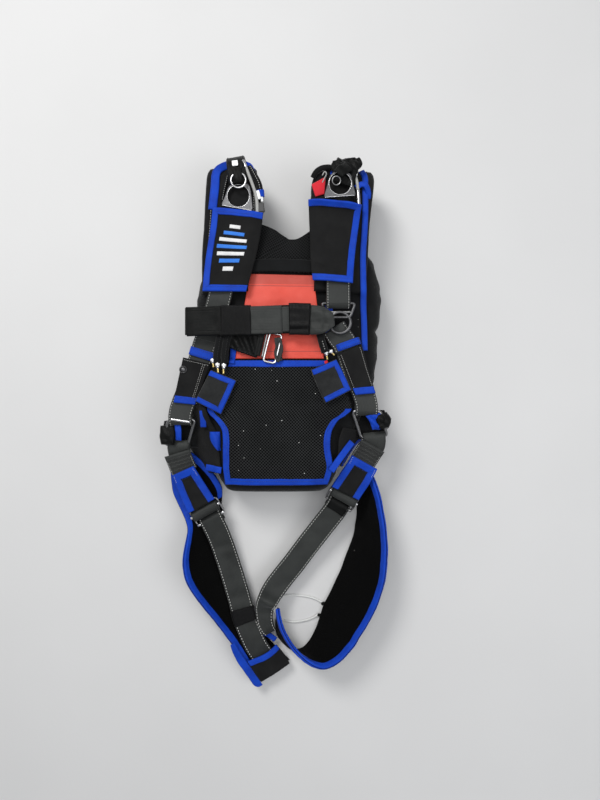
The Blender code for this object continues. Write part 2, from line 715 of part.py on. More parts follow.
def make_leg_straps(look, black_look):
    left = [(-135, -292, 32), (-141, -281.5, 33.8), (-144.1, -275.9, 40), (-141, -281.5, 46.2),
            (-133, -300, 40), (-124, -325, 32), (-110, -369, 27), (-96, -416, 24), (-86, -452, 22),
            (-78, -478, 22), (-60, -520, 22), (-46, -542, 22)]
    grid = web_grid(left, 40.0, 2)
    lay(grid, WEB_THICK, under=2.4, stiff=True, passes=2, free=range(8))
    sheet("leg_strap_left", grid, WEB_THICK, look)
    sleeve("strap_keeper", grid[16:19], WEB_THICK, black_look)

    right = [(86, -264, 39), (92, -254, 39.8), (95.1, -248.4, 46), (92, -254, 52.2), (84, -268, 47),
             (68, -290, 40), (38, -330, 34), (10, -368, 31), (-20, -406, 29), (-38, -432, 29),
             (-44, -456, 29), (-41, -480, 27)]
    grid = web_grid(right, 40.0, 2)
    for row, share in zip(grid[-6:], GATHERED):
        middle = row[0].lerp(row[1], 0.5)
        row[0] = middle.lerp(row[0], share)
        row[1] = middle.lerp(row[1], share)
    lay(grid, WEB_THICK, stiff=True, passes=2, free=range(8))
    sheet("leg_strap_right", grid, WEB_THICK, look)


def make_hip_panels(look, tape_look):
    """Blue-bound covers over the leg hangers."""
    edges = {
        "left": ([(-204, -200, 60), (-193, -230, 60), (-181, -258, 58)],
                 [(-168, -184, 62), (-153, -208, 60), (-139, -232, 58)]),
        "right": ([(114, -164, 62), (99, -186, 60), (86, -206, 58)],
                  [(157, -188, 60), (145, -210, 60), (133, -231, 58)]),
    }
    for side, (left, right) in edges.items():
        grid = grid_between(left, right, 2, 3, crown=2)
        lay(grid, CLOTH_THICK, under=TAPE_WALL + PANEL_SLOT + REST, reach=9, passes=40)
        sheet("hip_panel_" + side, grid, CLOTH_THICK, look)
        binding("hip_panel_binding_" + side, grid, CLOTH_THICK, tape_look, slot=PANEL_SLOT)


def make_strap_pocket(look, tape_look):
    """Pocket on the tip of the left leg pad that takes the strap's free end."""
    left = [(-74, -547, 20), (-61, -571, 20), (-50, -588, 20)]
    right = [(-22, -520, 20), (-8, -538, 20), (2, -556, 20)]
    grid = grid_between(left, right, 2, 4, crown=4)
    lay(grid, CLOTH_THICK, under=TAPE_WALL + WIDE_SLOT + REST, reach=9)
    sheet("strap_pocket", grid, CLOTH_THICK, look)
    binding("strap_pocket_binding", grid, CLOTH_THICK, tape_look, 0, len(grid[0]) - 1, slot=WIDE_SLOT)


# ---------------------------------------------------------------- small pieces
def make_red_tab(look):
    left = [(45, 299, 112), (50, 282, 112)]
    right = [(63, 309, 114), (60, 285, 114)]
    grid = grid_between(left, right, 2, 2)
    lay(grid, 3.0)
    sheet("red_tab", grid, 3.0, look)


ELASTIC_ROUTE = (
    (64, -449, 3.4), (48, -441, 2.4), (30, -437, 2), (10, -435, 2), (-9, -437, 2), (-24, -446, 2),
    (-29, -460, 2), (-22, -474, 2), (-8, -483, 2), (9, -486, 2), (28, -484, 2), (44, -479, 2.4),
    (56, -472, 3.4),
)
ELASTIC_RADIUS = 1.15


def make_elastic_loop(look):
    """Thin elastic line that ties the two leg pads together."""
    line = curve_through(ELASTIC_ROUTE, 4)
    data = bpy.data.curves.new("elastic_loop", "CURVE")
    data.dimensions = "3D"
    data.bevel_depth = ELASTIC_RADIUS * MM
    data.bevel_resolution = 2
    data.use_fill_caps = True
    spline = data.splines.new("POLY")
    spline.points.add(len(line) - 1)
    for point, place in zip(spline.points, line):
        point.co = (place.x * MM, place.y * MM, place.z * MM, 1.0)
    data.materials.append(look)
    bpy.context.scene.collection.objects.link(bpy.data.objects.new("elastic_loop", data))


def main():
    for thing in list(bpy.data.objects):
        bpy.data.objects.remove(thing, do_unlink=True)
    cloth = material("black_cloth", BLACK, 0.8)
    spacer = material("spacer_mesh", MESH_BLACK, 0.9)
    webbing = material("webbing", WEB_GREY, 0.75)
    tape = material("blue_tape", BLUE, 0.6)
    label = material("label_red", RED, 0.55)
    tab = material("tab_red", TAB_RED, 0.6)
    steel = material("steel", STEEL, 0.3, 1.0)
    white = material("white_elastic", WHITE, 0.6)

    make_container(cloth)
    make_back_pad(spacer, tape, label)
    make_yoke(spacer)
    make_wings(cloth, tape)
    make_shoulder_pads(cloth)
    make_shoulder_bindings(tape)
    make_leg_pads(spacer, tape)
    make_lift_webs(webbing)
    make_hip_rings(steel)
    make_leg_hangers(webbing)
    make_leg_adapters(steel)
    make_leg_straps(webbing, cloth)
    make_hip_panels(cloth, tape)
    make_strap_pocket(cloth, tape)
    make_risers(webbing)
    make_red_tab(tab)
    make_harness_rings(steel)
    make_mud_flaps(cloth, tape)
    make_chest(webbing, cloth, steel)
    make_pockets(cloth, tape)
    make_handles(cloth, tape)
    make_elastic_loop(white)


main()
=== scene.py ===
"""Packed sport parachute, dressed: cloth, tapes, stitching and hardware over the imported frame.

Control points below are millimetres in the frame's axes: +X to the right, +Y towards the shoulders,
+Z up off the floor.  Meshes are made in metres.
"""
import json
import math

import bmesh
import bpy
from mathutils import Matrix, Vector, noise
from mathutils.bvhtree import BVHTree

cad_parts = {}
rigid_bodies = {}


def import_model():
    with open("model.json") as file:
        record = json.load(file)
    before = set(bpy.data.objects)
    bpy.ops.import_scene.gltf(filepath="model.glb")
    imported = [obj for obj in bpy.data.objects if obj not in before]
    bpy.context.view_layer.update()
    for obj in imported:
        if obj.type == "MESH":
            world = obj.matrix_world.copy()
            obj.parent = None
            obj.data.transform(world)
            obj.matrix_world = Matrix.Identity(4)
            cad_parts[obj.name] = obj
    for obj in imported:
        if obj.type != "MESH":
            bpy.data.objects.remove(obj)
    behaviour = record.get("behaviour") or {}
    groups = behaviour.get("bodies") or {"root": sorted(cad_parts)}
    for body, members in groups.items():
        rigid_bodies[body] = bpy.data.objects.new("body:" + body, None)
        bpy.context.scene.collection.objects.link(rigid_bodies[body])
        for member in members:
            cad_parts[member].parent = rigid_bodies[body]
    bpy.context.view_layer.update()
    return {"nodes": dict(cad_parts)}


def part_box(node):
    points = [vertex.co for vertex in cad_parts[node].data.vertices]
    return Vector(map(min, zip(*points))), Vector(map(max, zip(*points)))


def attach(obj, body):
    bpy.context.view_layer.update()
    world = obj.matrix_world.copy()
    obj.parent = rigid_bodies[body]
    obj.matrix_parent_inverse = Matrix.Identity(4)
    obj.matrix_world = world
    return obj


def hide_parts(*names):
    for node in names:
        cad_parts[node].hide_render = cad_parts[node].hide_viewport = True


for thing in list(bpy.data.objects):
    bpy.data.objects.remove(thing, do_unlink=True)
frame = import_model()

MM = 0.001
REST = 1.0
TAPE_WALL = 1.0
TAPE_SLOT = 0.6
CELL = 3.2            # target size of a cloth cell
WEB_THICK = 3.2
CLOTH_THICK = 1.8
SQUARENESS = 2 / 3.2   # power that squares off the container's round section
RING_STEPS = 56       # points round each small riser ring
SNAP_STEPS = 40       # points round the rim of the left pocket's snap

# the frame's pieces in the order in which they lie on each other
ORDER = """container back_pad back_pad_binding label_panel yoke_pad wing_left wing_right
wing_right_binding shoulder_pad_left shoulder_pad_right shoulder_binding_left
shoulder_binding_right leg_pad_left leg_pad_binding_left leg_pad_right leg_pad_binding_right
main_lift_web_left main_lift_web_right lower_lift_web_right hip_ring_left hip_ring_right
leg_hanger_left leg_hanger_right leg_adapter_left leg_adapter_right leg_strap_left strap_keeper
leg_strap_right hip_panel_left hip_panel_binding_left hip_panel_right hip_panel_binding_right
strap_pocket strap_pocket_binding riser_left riser_right red_tab harness_ring_left
riser_ring_left harness_ring_right riser_ring_right mud_flap_left mud_flap_binding_left
mud_flap_right mud_flap_binding_right chest_ring chest_tail chest_adapter chest_strap
chest_keeper_left chest_keeper_right pocket_left pocket_binding_left pocket_right
pocket_binding_right handle_left handle_binding_left handle_right handle_binding_right
elastic_loop""".split()
trees = {}


# ---------------------------------------------------------------- laying cloth on the frame
def tree_of(name):
    if name not in trees:
        mesh = frame["nodes"][name].data
        verts = [v.co / MM for v in mesh.vertices]
        faces = [tuple(p.vertices) for p in mesh.polygons]
        low = [min(v[k] for v in verts) for k in range(2)]
        high = [max(v[k] for v in verts) for k in range(2)]
        trees[name] = (low, high, BVHTree.FromPolygons(verts, faces))
    return trees[name]


def top_below(x, y, reach, names):
    """Highest point of the named nodes within reach of (x, y), or zero for the floor."""
    best = 0.0
    spots = [(0.0, 0.0)]
    for part in (1.0, 0.66, 0.33):
        far = reach * part
        spots += [(far * math.cos(a * math.pi / 4), far * math.sin(a * math.pi / 4)) for a in range(8)]
    for dx, dy in spots:
        for name in names:
            low, high, tree = tree_of(name)
            if low[0] <= x + dx <= high[0] and low[1] <= y + dy <= high[1]:
                hit = tree.ray_cast(Vector((x + dx, y + dy, 500.0)), Vector((0, 0, -1)))[0]
                if hit is not None:
                    best = max(best, hit.z)
    return best


def curve_through(points, steps):
    pts = [Vector(p) for p in points]
    line = []
    for k in range(len(pts) - 1):
        before = pts[max(k - 1, 0)]
        start = pts[k]
        end = pts[k + 1]
        after = pts[min(k + 2, len(pts) - 1)]
        for s in range(steps):
            t = s / steps
            line.append(0.5 * (2 * start + (end - before) * t
                               + (2 * before - 5 * start + 4 * end - after) * t * t
                               + (3 * start - before - 3 * end + after) * t ** 3))
    line.append(pts[-1])
    return line


def grid_between(left, right, steps, cols, bow=1.0, crown=0.0):
    grid = []
    for a, b in zip(curve_through(left, steps), curve_through(right, steps)):
        row = []
        for c in range(cols + 1):
            t = c / cols
            point = a.lerp(b, t)
            if a.z >= b.z:
                point.z = b.z + (a.z - b.z) * (1 - t) ** bow
            else:
                point.z = a.z + (b.z - a.z) * t ** bow
            point.z += crown * math.sin(math.pi * t)
            row.append(point)
        grid.append(row)
    return grid


def lay(grid, thick, names, under=REST, reach=4.0, stiff=False, passes=12, free=()):
    """Lift a grid so that it rests on the named nodes, spanning hollows like taut cloth."""
    rows = len(grid)
    cols = len(grid[0])
    need = [[max(0.0, top_below(p.x, p.y, reach, names) + under + thick / 2 - p.z) for p in row]
            for row in grid]
    if stiff:
        for i, row in enumerate(grid):
            middle = row[0].lerp(row[-1], 0.5)
            most = top_below(middle.x, middle.y, reach, names) + under + thick / 2 - middle.z
            need[i] = [max(max(need[i]), most)] * cols
    held = {k % rows for k in free}
    for i in held:
        need[i] = [0.0] * cols
    lift = [row[:] for row in need]
    for _ in range(passes):
        fresh = [row[:] for row in lift]
        for i in range(rows):
            if i in held:
                continue
            for j in range(cols):
                near = [lift[a][b] for a, b in ((i - 1, j), (i + 1, j), (i, j - 1), (i, j + 1))
                        if 0 <= a < rows and 0 <= b < cols]
                fresh[i][j] = max(need[i][j], sum(near) / len(near) * 0.92)
        lift = fresh
    for i in range(rows):
        for j in range(cols):
            grid[i][j].z += lift[i][j]
    return grid


def web_grid(path, width, steps, tilt=0.0):
    """Two edges of a flat strap whose middle follows the path; tilt rolls it, left edge down."""
    line = curve_through(path, steps)
    heading = None
    grid = []
    for k, point in enumerate(line):
        ahead = line[min(k + 1, len(line) - 1)] - line[max(k - 1, 0)]
        flat = Vector((ahead.x, ahead.y, 0))
        if heading is None:
            heading = flat.normalized()
        elif flat.length > 0.5 * ahead.length:
            heading = flat.normalized() * math.copysign(1.0, flat.dot(heading))
        side = Vector((heading.y, -heading.x, 0)) * math.cos(tilt) + Vector((0, 0, math.sin(tilt)))
        grid.append([point - side * width / 2, point + side * width / 2])
    return grid


def below(name, *more):
    """Nodes that lie under the named one."""
    return ORDER[:ORDER.index(name)] + list(more)


def refine(grid, cell=CELL):
    """Round a coarse grid out to small cells, passing through its points."""
    middle = len(grid[0]) // 2
    long_step = sum((a[middle] - b[middle]).length for a, b in zip(grid, grid[1:])) / (len(grid) - 1)
    row = grid[len(grid) // 2]
    wide_step = (row[-1] - row[0]).length / (len(row) - 1)
    along = max(1, round(long_step / cell))
    across = max(1, round(wide_step / cell))
    columns = [curve_through([r[j] for r in grid], along) for j in range(len(grid[0]))]
    rows = [[col[i] for col in columns] for i in range(len(columns[0]))]
    return [curve_through(r, across) for r in rows]


def smooth_grid(grid, rounds):
    """Even out heights only."""
    rows = len(grid)
    cols = len(grid[0])
    for _ in range(rounds):
        high = [[p.z for p in row] for row in grid]
        for i in range(rows):
            for j in range(cols):
                near = [high[a][b] for a, b in ((i - 1, j), (i + 1, j), (i, j - 1), (i, j + 1))
                        if 0 <= a < rows and 0 <= b < cols]
                grid[i][j].z = 0.5 * high[i][j] + 0.5 * sum(near) / len(near)
    return grid


def grid_normals(grid):
    rows = len(grid)
    cols = len(grid[0])
    normals = []
    for i in range(rows):
        line = []
        for j in range(cols):
            along = grid[min(i + 1, rows - 1)][j] - grid[max(i - 1, 0)][j]
            across = grid[i][min(j + 1, cols - 1)] - grid[i][max(j - 1, 0)]
            line.append(across.cross(along).normalized())
        normals.append(line)
    if sum(n.z for line in normals for n in line) < 0:
        normals = [[-n for n in line] for line in normals]
    return normals


def ripple(grid, amount, size, seed=0.0, edges=1.0):
    """Uneven soft swells of a given size; edges scales them at the border."""
    normals = grid_normals(grid)
    rows = len(grid)
    cols = len(grid[0])
    for i in range(rows):
        for j in range(cols):
            p = grid[i][j]
            q = Vector((p.x / size + seed, p.y / size - seed, p.z / size))
            swell = noise.noise(q) + 0.45 * noise.noise(q * 2.3) + 0.2 * noise.noise(q * 5.1)
            rim = min(i, j, rows - 1 - i, cols - 1 - j)
            hold = edges + (1 - edges) * min(1.0, rim / 3)
            grid[i][j] = p + normals[i][j] * (swell * amount * hold)
    return grid


def crease(grid, folds):
    """Folds listed as (x0, y0, x1, y1, half width, height); a negative height is a trough."""
    normals = grid_normals(grid)
    for i, row in enumerate(grid):
        for j, p in enumerate(row):
            push = 0.0
            for x0, y0, x1, y1, half, high in folds:
                dx = x1 - x0
                dy = y1 - y0
                t = ((p.x - x0) * dx + (p.y - y0) * dy) / (dx * dx + dy * dy)
                if -0.25 < t < 1.25:
                    off = ((p.x - x0) * dy - (p.y - y0) * dx) / math.hypot(dx, dy)
                    fade = math.sin(math.pi * min(1.0, max(0.0, (t + 0.25) / 1.5))) ** 0.8
                    r = off / half
                    push += high * fade * (math.exp(-r * r) - 0.35 * math.exp(-((abs(r) - 1.9) ** 2)))
            grid[i][j] = p + normals[i][j] * push
    return grid


def make_mesh(name, verts, faces, look, uvs=None, replaced=(), sharp=False):
    """A piece in metres from points in millimetres, riding on the object."""
    mesh = bpy.data.meshes.new(name)
    mesh.from_pydata([Vector(v) * MM for v in verts], [], faces)
    body = bmesh.new()
    body.from_mesh(mesh)
    bmesh.ops.recalc_face_normals(body, faces=body.faces)
    if body.calc_volume(signed=True) < 0:
        bmesh.ops.reverse_faces(body, faces=body.faces)
    if uvs:
        layer = body.loops.layers.uv.new("UVMap")
        body.verts.ensure_lookup_table()
        for face in body.faces:
            for loop in face.loops:
                loop[layer].uv = uvs[loop.vert.index]
    body.to_mesh(mesh)
    body.free()
    mesh.shade_smooth()
    if sharp:
        mesh.set_sharp_from_angle(angle=math.radians(38))
    thing = bpy.data.objects.new(name, mesh)
    bpy.context.scene.collection.objects.link(thing)
    mesh.materials.append(look)
    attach(thing, "root")
    if replaced:
        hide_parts(*replaced)
    return thing


def rim_cells(rows, cols):
    cells = [(0, j) for j in range(cols)]
    cells += [(i, cols - 1) for i in range(1, rows)]
    cells += [(rows - 1, j) for j in range(cols - 2, -1, -1)]
    cells += [(i, 0) for i in range(rows - 2, 0, -1)]
    return cells


def grid_uv(grid):
    """Distances in metres across and along the cloth."""
    rows = len(grid)
    cols = len(grid[0])
    uv = [[None] * cols for _ in range(rows)]
    run = 0.0
    middle = cols // 2
    for i in range(rows):
        if i:
            run += (grid[i][middle] - grid[i - 1][middle]).length
        width = (grid[i][-1] - grid[i][0]).length
        for j in range(cols):
            uv[i][j] = ((j / (cols - 1) - 0.5) * width * MM, run * MM)
    return uv


def cloth(name, grid, thick, look, replaced=(), puff=0.0):
    """A sheet of even thickness with a rounded edge; puff swells the faces between the edges."""
    rows = len(grid)
    cols = len(grid[0])
    normals = grid_normals(grid)
    uv = grid_uv(grid)
    verts = []
    uvs = []
    width = (grid[rows // 2][-1] - grid[rows // 2][0]).length
    for side in (0.5, -0.5):
        for i in range(rows):
            for j in range(cols):
                swell = 0.0
                if puff:
                    inside = min(j, cols - 1 - j) / (cols - 1) * width
                    ends = min(i, rows - 1 - i) * CELL
                    swell = puff * math.sin(min(1.0, min(inside, ends) / 14) * math.pi / 2)
                verts.append(grid[i][j] + normals[i][j] * (thick + 2 * swell) * side)
                uvs.append(uv[i][j])
    count = rows * cols
    faces = []
    for i in range(rows - 1):
        for j in range(cols - 1):
            a = i * cols + j
            faces.append((a, a + 1, a + cols + 1, a + cols))
            faces.append((count + a, count + a + cols, count + a + cols + 1, count + a + 1))
    rim = rim_cells(rows, cols)
    base = len(verts)
    for i, j in rim:
        verts.append(border_point(grid, i, j, -thick * 0.42))
        uvs.append(uv[i][j])
    for k, (i, j) in enumerate(rim):
        m, n = rim[(k + 1) % len(rim)]
        a = i * cols + j
        b = m * cols + n
        ra = base + k
        rb = base + (k + 1) % len(rim)
        faces.append((a, b, rb, ra))
        faces.append((ra, rb, count + b, count + a))
    return make_mesh(name, verts, faces, look, uvs, replaced)


def inwards(grid, i, j, only):
    """Steps from a border cell into the sheet; only limits a corner to one of its two sides."""
    di = 1 if i == 0 else -1 if i == len(grid) - 1 else 0
    dj = 1 if j == 0 else -1 if j == len(grid[0]) - 1 else 0
    if only == "row":
        dj = 0
    elif only == "column":
        di = 0
    return di, dj


def border_point(grid, i, j, depth, only=None):
    """Point in the sheet's middle plane, a depth in from the border cell (negative is outside)."""
    di, dj = inwards(grid, i, j, only)
    here = grid[i][j]
    point = here.copy()
    if di:
        point += (grid[i + di][j] - here).normalized() * depth
    if dj:
        point += (grid[i][j + dj] - here).normalized() * depth
    return point


def inner_point(grid, i, j, depth, only=None):
    """Point in the sheet's middle plane, following the cells inwards from the border."""
    rows = len(grid)
    cols = len(grid[0])
    di, dj = inwards(grid, i, j, only)
    point = grid[i][j].copy()
    for way, (a, b) in ((di, (di, 0)), (dj, (0, dj))):
        if not way:
            continue
        left = depth
        m = i
        n = j
        while left > 0 and 0 <= m + a < rows and 0 <= n + b < cols:
            step = grid[m + a][n + b] - grid[m][n]
            share = min(1.0, left / step.length)
            point += step * share
            left -= step.length
            m += a
            n += b
    return point


def tape(name, grid, thick, look, first=None, last=None, lip=8.0, gap=0.5, replaced=(),
         wander=0.35, lump=0.25):
    """Folded tape round a sheet's border from one border cell to another, with a soft rounded fold."""
    rim = rim_cells(len(grid), len(grid[0]))
    if first is None:
        cells = rim
        closed = True
    else:
        a = rim.index(first)
        b = rim.index(last)
        span = (b - a) % len(rim)
        cells = [rim[(a + k) % len(rim)] for k in range(span + 1)]
        closed = False
    normals = grid_normals(grid)
    half = thick / 2
    corners = {(0, 0), (0, len(grid[0]) - 1), (len(grid) - 1, 0), (len(grid) - 1, len(grid[0]) - 1)}
    runs = [0.0]
    for (a, b), (m, n) in zip(cells, cells[1:]):
        runs.append(runs[-1] + (grid[m][n] - grid[a][b]).length)
    whole = runs[-1] + (grid[cells[0][0]][cells[0][1]] - grid[cells[-1][0]][cells[-1][1]]).length
    bends = [runs[k] for k, cell in enumerate(cells)
             if cell in corners and (closed or 0 < k < len(cells) - 1)]
    verts = []
    uvs = []
    around = 0
    for k, (i, j) in enumerate(cells):
        here = grid[i][j]
        run = runs[k]
        only = None
        if not closed and k in (0, len(cells) - 1):
            other = cells[1] if k == 0 else cells[-2]
            only = "row" if other[0] == i else "column"
        room = min([min(abs(run - bend), whole - abs(run - bend) if closed else 1e9) for bend in bends],
                   default=1e9)
        up = normals[i][j]
        waver = noise.noise(Vector((run / 14, here.x / 50, 3.1)))
        lumpy = noise.noise(Vector((run / 9, here.y / 60, 7.7))) * lump
        reach = lip + wander * waver
        high = half + gap + TAPE_WALL + lumpy
        profile = [(reach, half + gap * 0.4), (reach - 0.1, high - 0.35), (reach - 0.5, high),
                   (reach - 1.5, high), (2.2, high), (0.9, high), (-0.3, high * 0.93), (-1.1, high * 0.6),
                   (-1.45, 0.0), (-1.1, -high * 0.6), (-0.3, -high * 0.93), (0.9, -high),
                   (reach - 0.5, -high),
                   (reach, -half - gap * 0.4)]
        around = len(profile)
        for m, (depth, rise) in enumerate(profile):
            if depth > 0:
                point = inner_point(grid, i, j, min(depth, room), only)
            else:
                point = border_point(grid, i, j, depth, only)
            verts.append(point + up * rise)
            uvs.append(((m / around - 0.5) * 2 * lip * MM, run * MM))
    count = len(cells)
    faces = []
    for k in range(count if closed else count - 1):
        a = k * around
        b = ((k + 1) % count) * around
        for m in range(around):
            n = (m + 1) % around
            faces.append((a + m, a + n, b + n, b + m))
    if not closed:
        faces.append(tuple(range(around)))
        faces.append(tuple((count - 1) * around + m for m in range(around)))
    return make_mesh(name, verts, faces, look, uvs, replaced)


def tube(name, points, radius, look, replaced=(), around=12, closed=False, squash=1.0,
         taper=None):
    """A round or flattened rod along points; taper gives a radius factor at each share of its length."""
    pts = [Vector(p) for p in points]
    count = len(pts)
    verts = []
    uvs = []
    side = None
    run = 0.0
    for k, p in enumerate(pts):
        if closed:
            ahead = pts[(k + 1) % count] - pts[k - 1]
        else:
            ahead = pts[min(k + 1, count - 1)] - pts[max(k - 1, 0)]
        ahead.normalize()
        if k:
            run += (p - pts[k - 1]).length
        if side is None:
            side = ahead.cross(Vector((0, 0, 1)))
            if side.length < 0.2:
                side = ahead.cross(Vector((0, 1, 0)))
        side = (side - ahead * side.dot(ahead)).normalized()
        up = side.cross(ahead)
        size = radius * (taper(k / (count - 1)) if taper else 1.0)
        for m in range(around):
            angle = 2 * math.pi * m / around
            verts.append(p + side * math.cos(angle) * size + up * math.sin(angle) * size * squash)
            uvs.append((angle / (2 * math.pi) * 2 * math.pi * radius * MM, run * MM))
    faces = []
    for k in range(count if closed else count - 1):
        a = k * around
        b = ((k + 1) % count) * around
        for m in range(around):
            n = (m + 1) % around
            faces.append((a + m, a + n, b + n, b + m))
    if not closed:
        faces.append(tuple(range(around)))
        faces.append(tuple((count - 1) * around + m for m in range(around)))
    return make_mesh(name, verts, faces, look, uvs, replaced)


def rounded_loop(corners, radius, steps=8):
    loop = []
    count = len(corners)
    for k in range(count):
        here = Vector(corners[k])
        before = (Vector(corners[k - 1]) - here).normalized()
        after = (Vector(corners[(k + 1) % count]) - here).normalized()
        for s in range(steps + 1):
            t = s / steps
            loop.append((here + before * radius) * (1 - t) ** 2 + here * 2 * t * (1 - t)
                        + (here + after * radius) * t ** 2)
    return loop


# ---------------------------------------------------------------- stitching
thread = {}            # stitches waiting to be joined: look name -> [verts, faces]


def stitch(where, start, end, up, radius=0.42):
    """One thread lying on the cloth between two needle holes."""
    verts, faces = thread.setdefault(where, ([], []))
    ahead = (end - start).normalized()
    side = ahead.cross(up).normalized()
    top = side.cross(ahead)
    if top.dot(up) < 0:
        top = -top
    base = len(verts)
    verts.append(start - up * 0.2)
    for t in (0.2, 0.8):
        for m in range(5):
            angle = 2 * math.pi * m / 5
            verts.append(start.lerp(end, t) + side * math.cos(angle) * radius
                         + top * (math.sin(angle) * radius + 0.12))
    verts.append(end - up * 0.2)
    for m in range(5):
        n = (m + 1) % 5
        faces.append((base, base + 1 + m, base + 1 + n))
        faces.append((base + 1 + m, base + 6 + m, base + 6 + n, base + 1 + n))
        faces.append((base + 11, base + 6 + n, base + 6 + m))


def sew(where, points, ups, pitch=4.6, share=0.62, radius=0.42):
    """A row of stitches along a line on the cloth."""
    lengths = [0.0]
    for a, b in zip(points, points[1:]):
        lengths.append(lengths[-1] + (b - a).length)
    total = lengths[-1]
    if total < pitch:
        return
    count = int(total / pitch)

    def at(d):
        for k in range(len(points) - 1):
            if d <= lengths[k + 1] or k == len(points) - 2:
                t = (d - lengths[k]) / max(1e-6, lengths[k + 1] - lengths[k])
                return points[k].lerp(points[k + 1], t), ups[k].lerp(ups[k + 1], t).normalized()
        return points[-1], ups[-1]

    for k in range(count):
        d = (k + 0.2) * total / count
        a, up = at(d)
        b, _ = at(min(total, d + pitch * share))
        stitch(where, a, b, up, radius)


def on_grid(grid, normals, s, t, high):
    """Point above the cloth at shares s along its rows and t across its columns."""
    x = min(max(s, 0.0), 1.0) * (len(grid) - 1)
    y = min(max(t, 0.0), 1.0) * (len(grid[0]) - 1)
    i = min(int(x), len(grid) - 2)
    j = min(int(y), len(grid[0]) - 2)
    a = x - i
    b = y - j
    point = (grid[i][j].lerp(grid[i + 1][j], a)).lerp(grid[i][j + 1].lerp(grid[i + 1][j + 1], a), b)
    up = (normals[i][j].lerp(normals[i + 1][j], a)).lerp(
        normals[i][j + 1].lerp(normals[i + 1][j + 1], a), b).normalized()
    return point + up * high, up


def sew_path(where, grid, high, corners, **how):
    """Stitch along straight runs between corners given as shares of the cloth."""
    normals = grid_normals(grid)
    points = []
    ups = []
    for (s0, t0), (s1, t1) in zip(corners, corners[1:]):
        for k in range(25):
            share = k / 24
            point, up = on_grid(grid, normals, s0 + (s1 - s0) * share, t0 + (t1 - t0) * share, high)
            points.append(point)
            ups.append(up)
    sew(where, points, ups, **how)


def sew_edges(where, grid, thick, inset=2.2, s0=0.0, s1=1.0, sides=(0, 1), faces=(1,), **how):
    """Stitch beside the long edges of a strap."""
    width = (grid[len(grid) // 2][-1] - grid[len(grid) // 2][0]).length
    share = inset / width
    for side in sides:
        t = share if side == 0 else 1 - share
        for face in faces:
            sew_path(where, grid, face * (thick / 2 + 0.1), [(s0 + (s1 - s0) * k / 12, t) for k in range(13)],
                     **how)


def flush_threads(looks):
    """Make the joined stitches of each group."""
    for where, (verts, faces) in thread.items():
        look, slot = looks[where.split("-")[1]]
        make_mesh(where.split("-")[0] + "_stitching_" + where.split("-")[1], verts, faces, look)


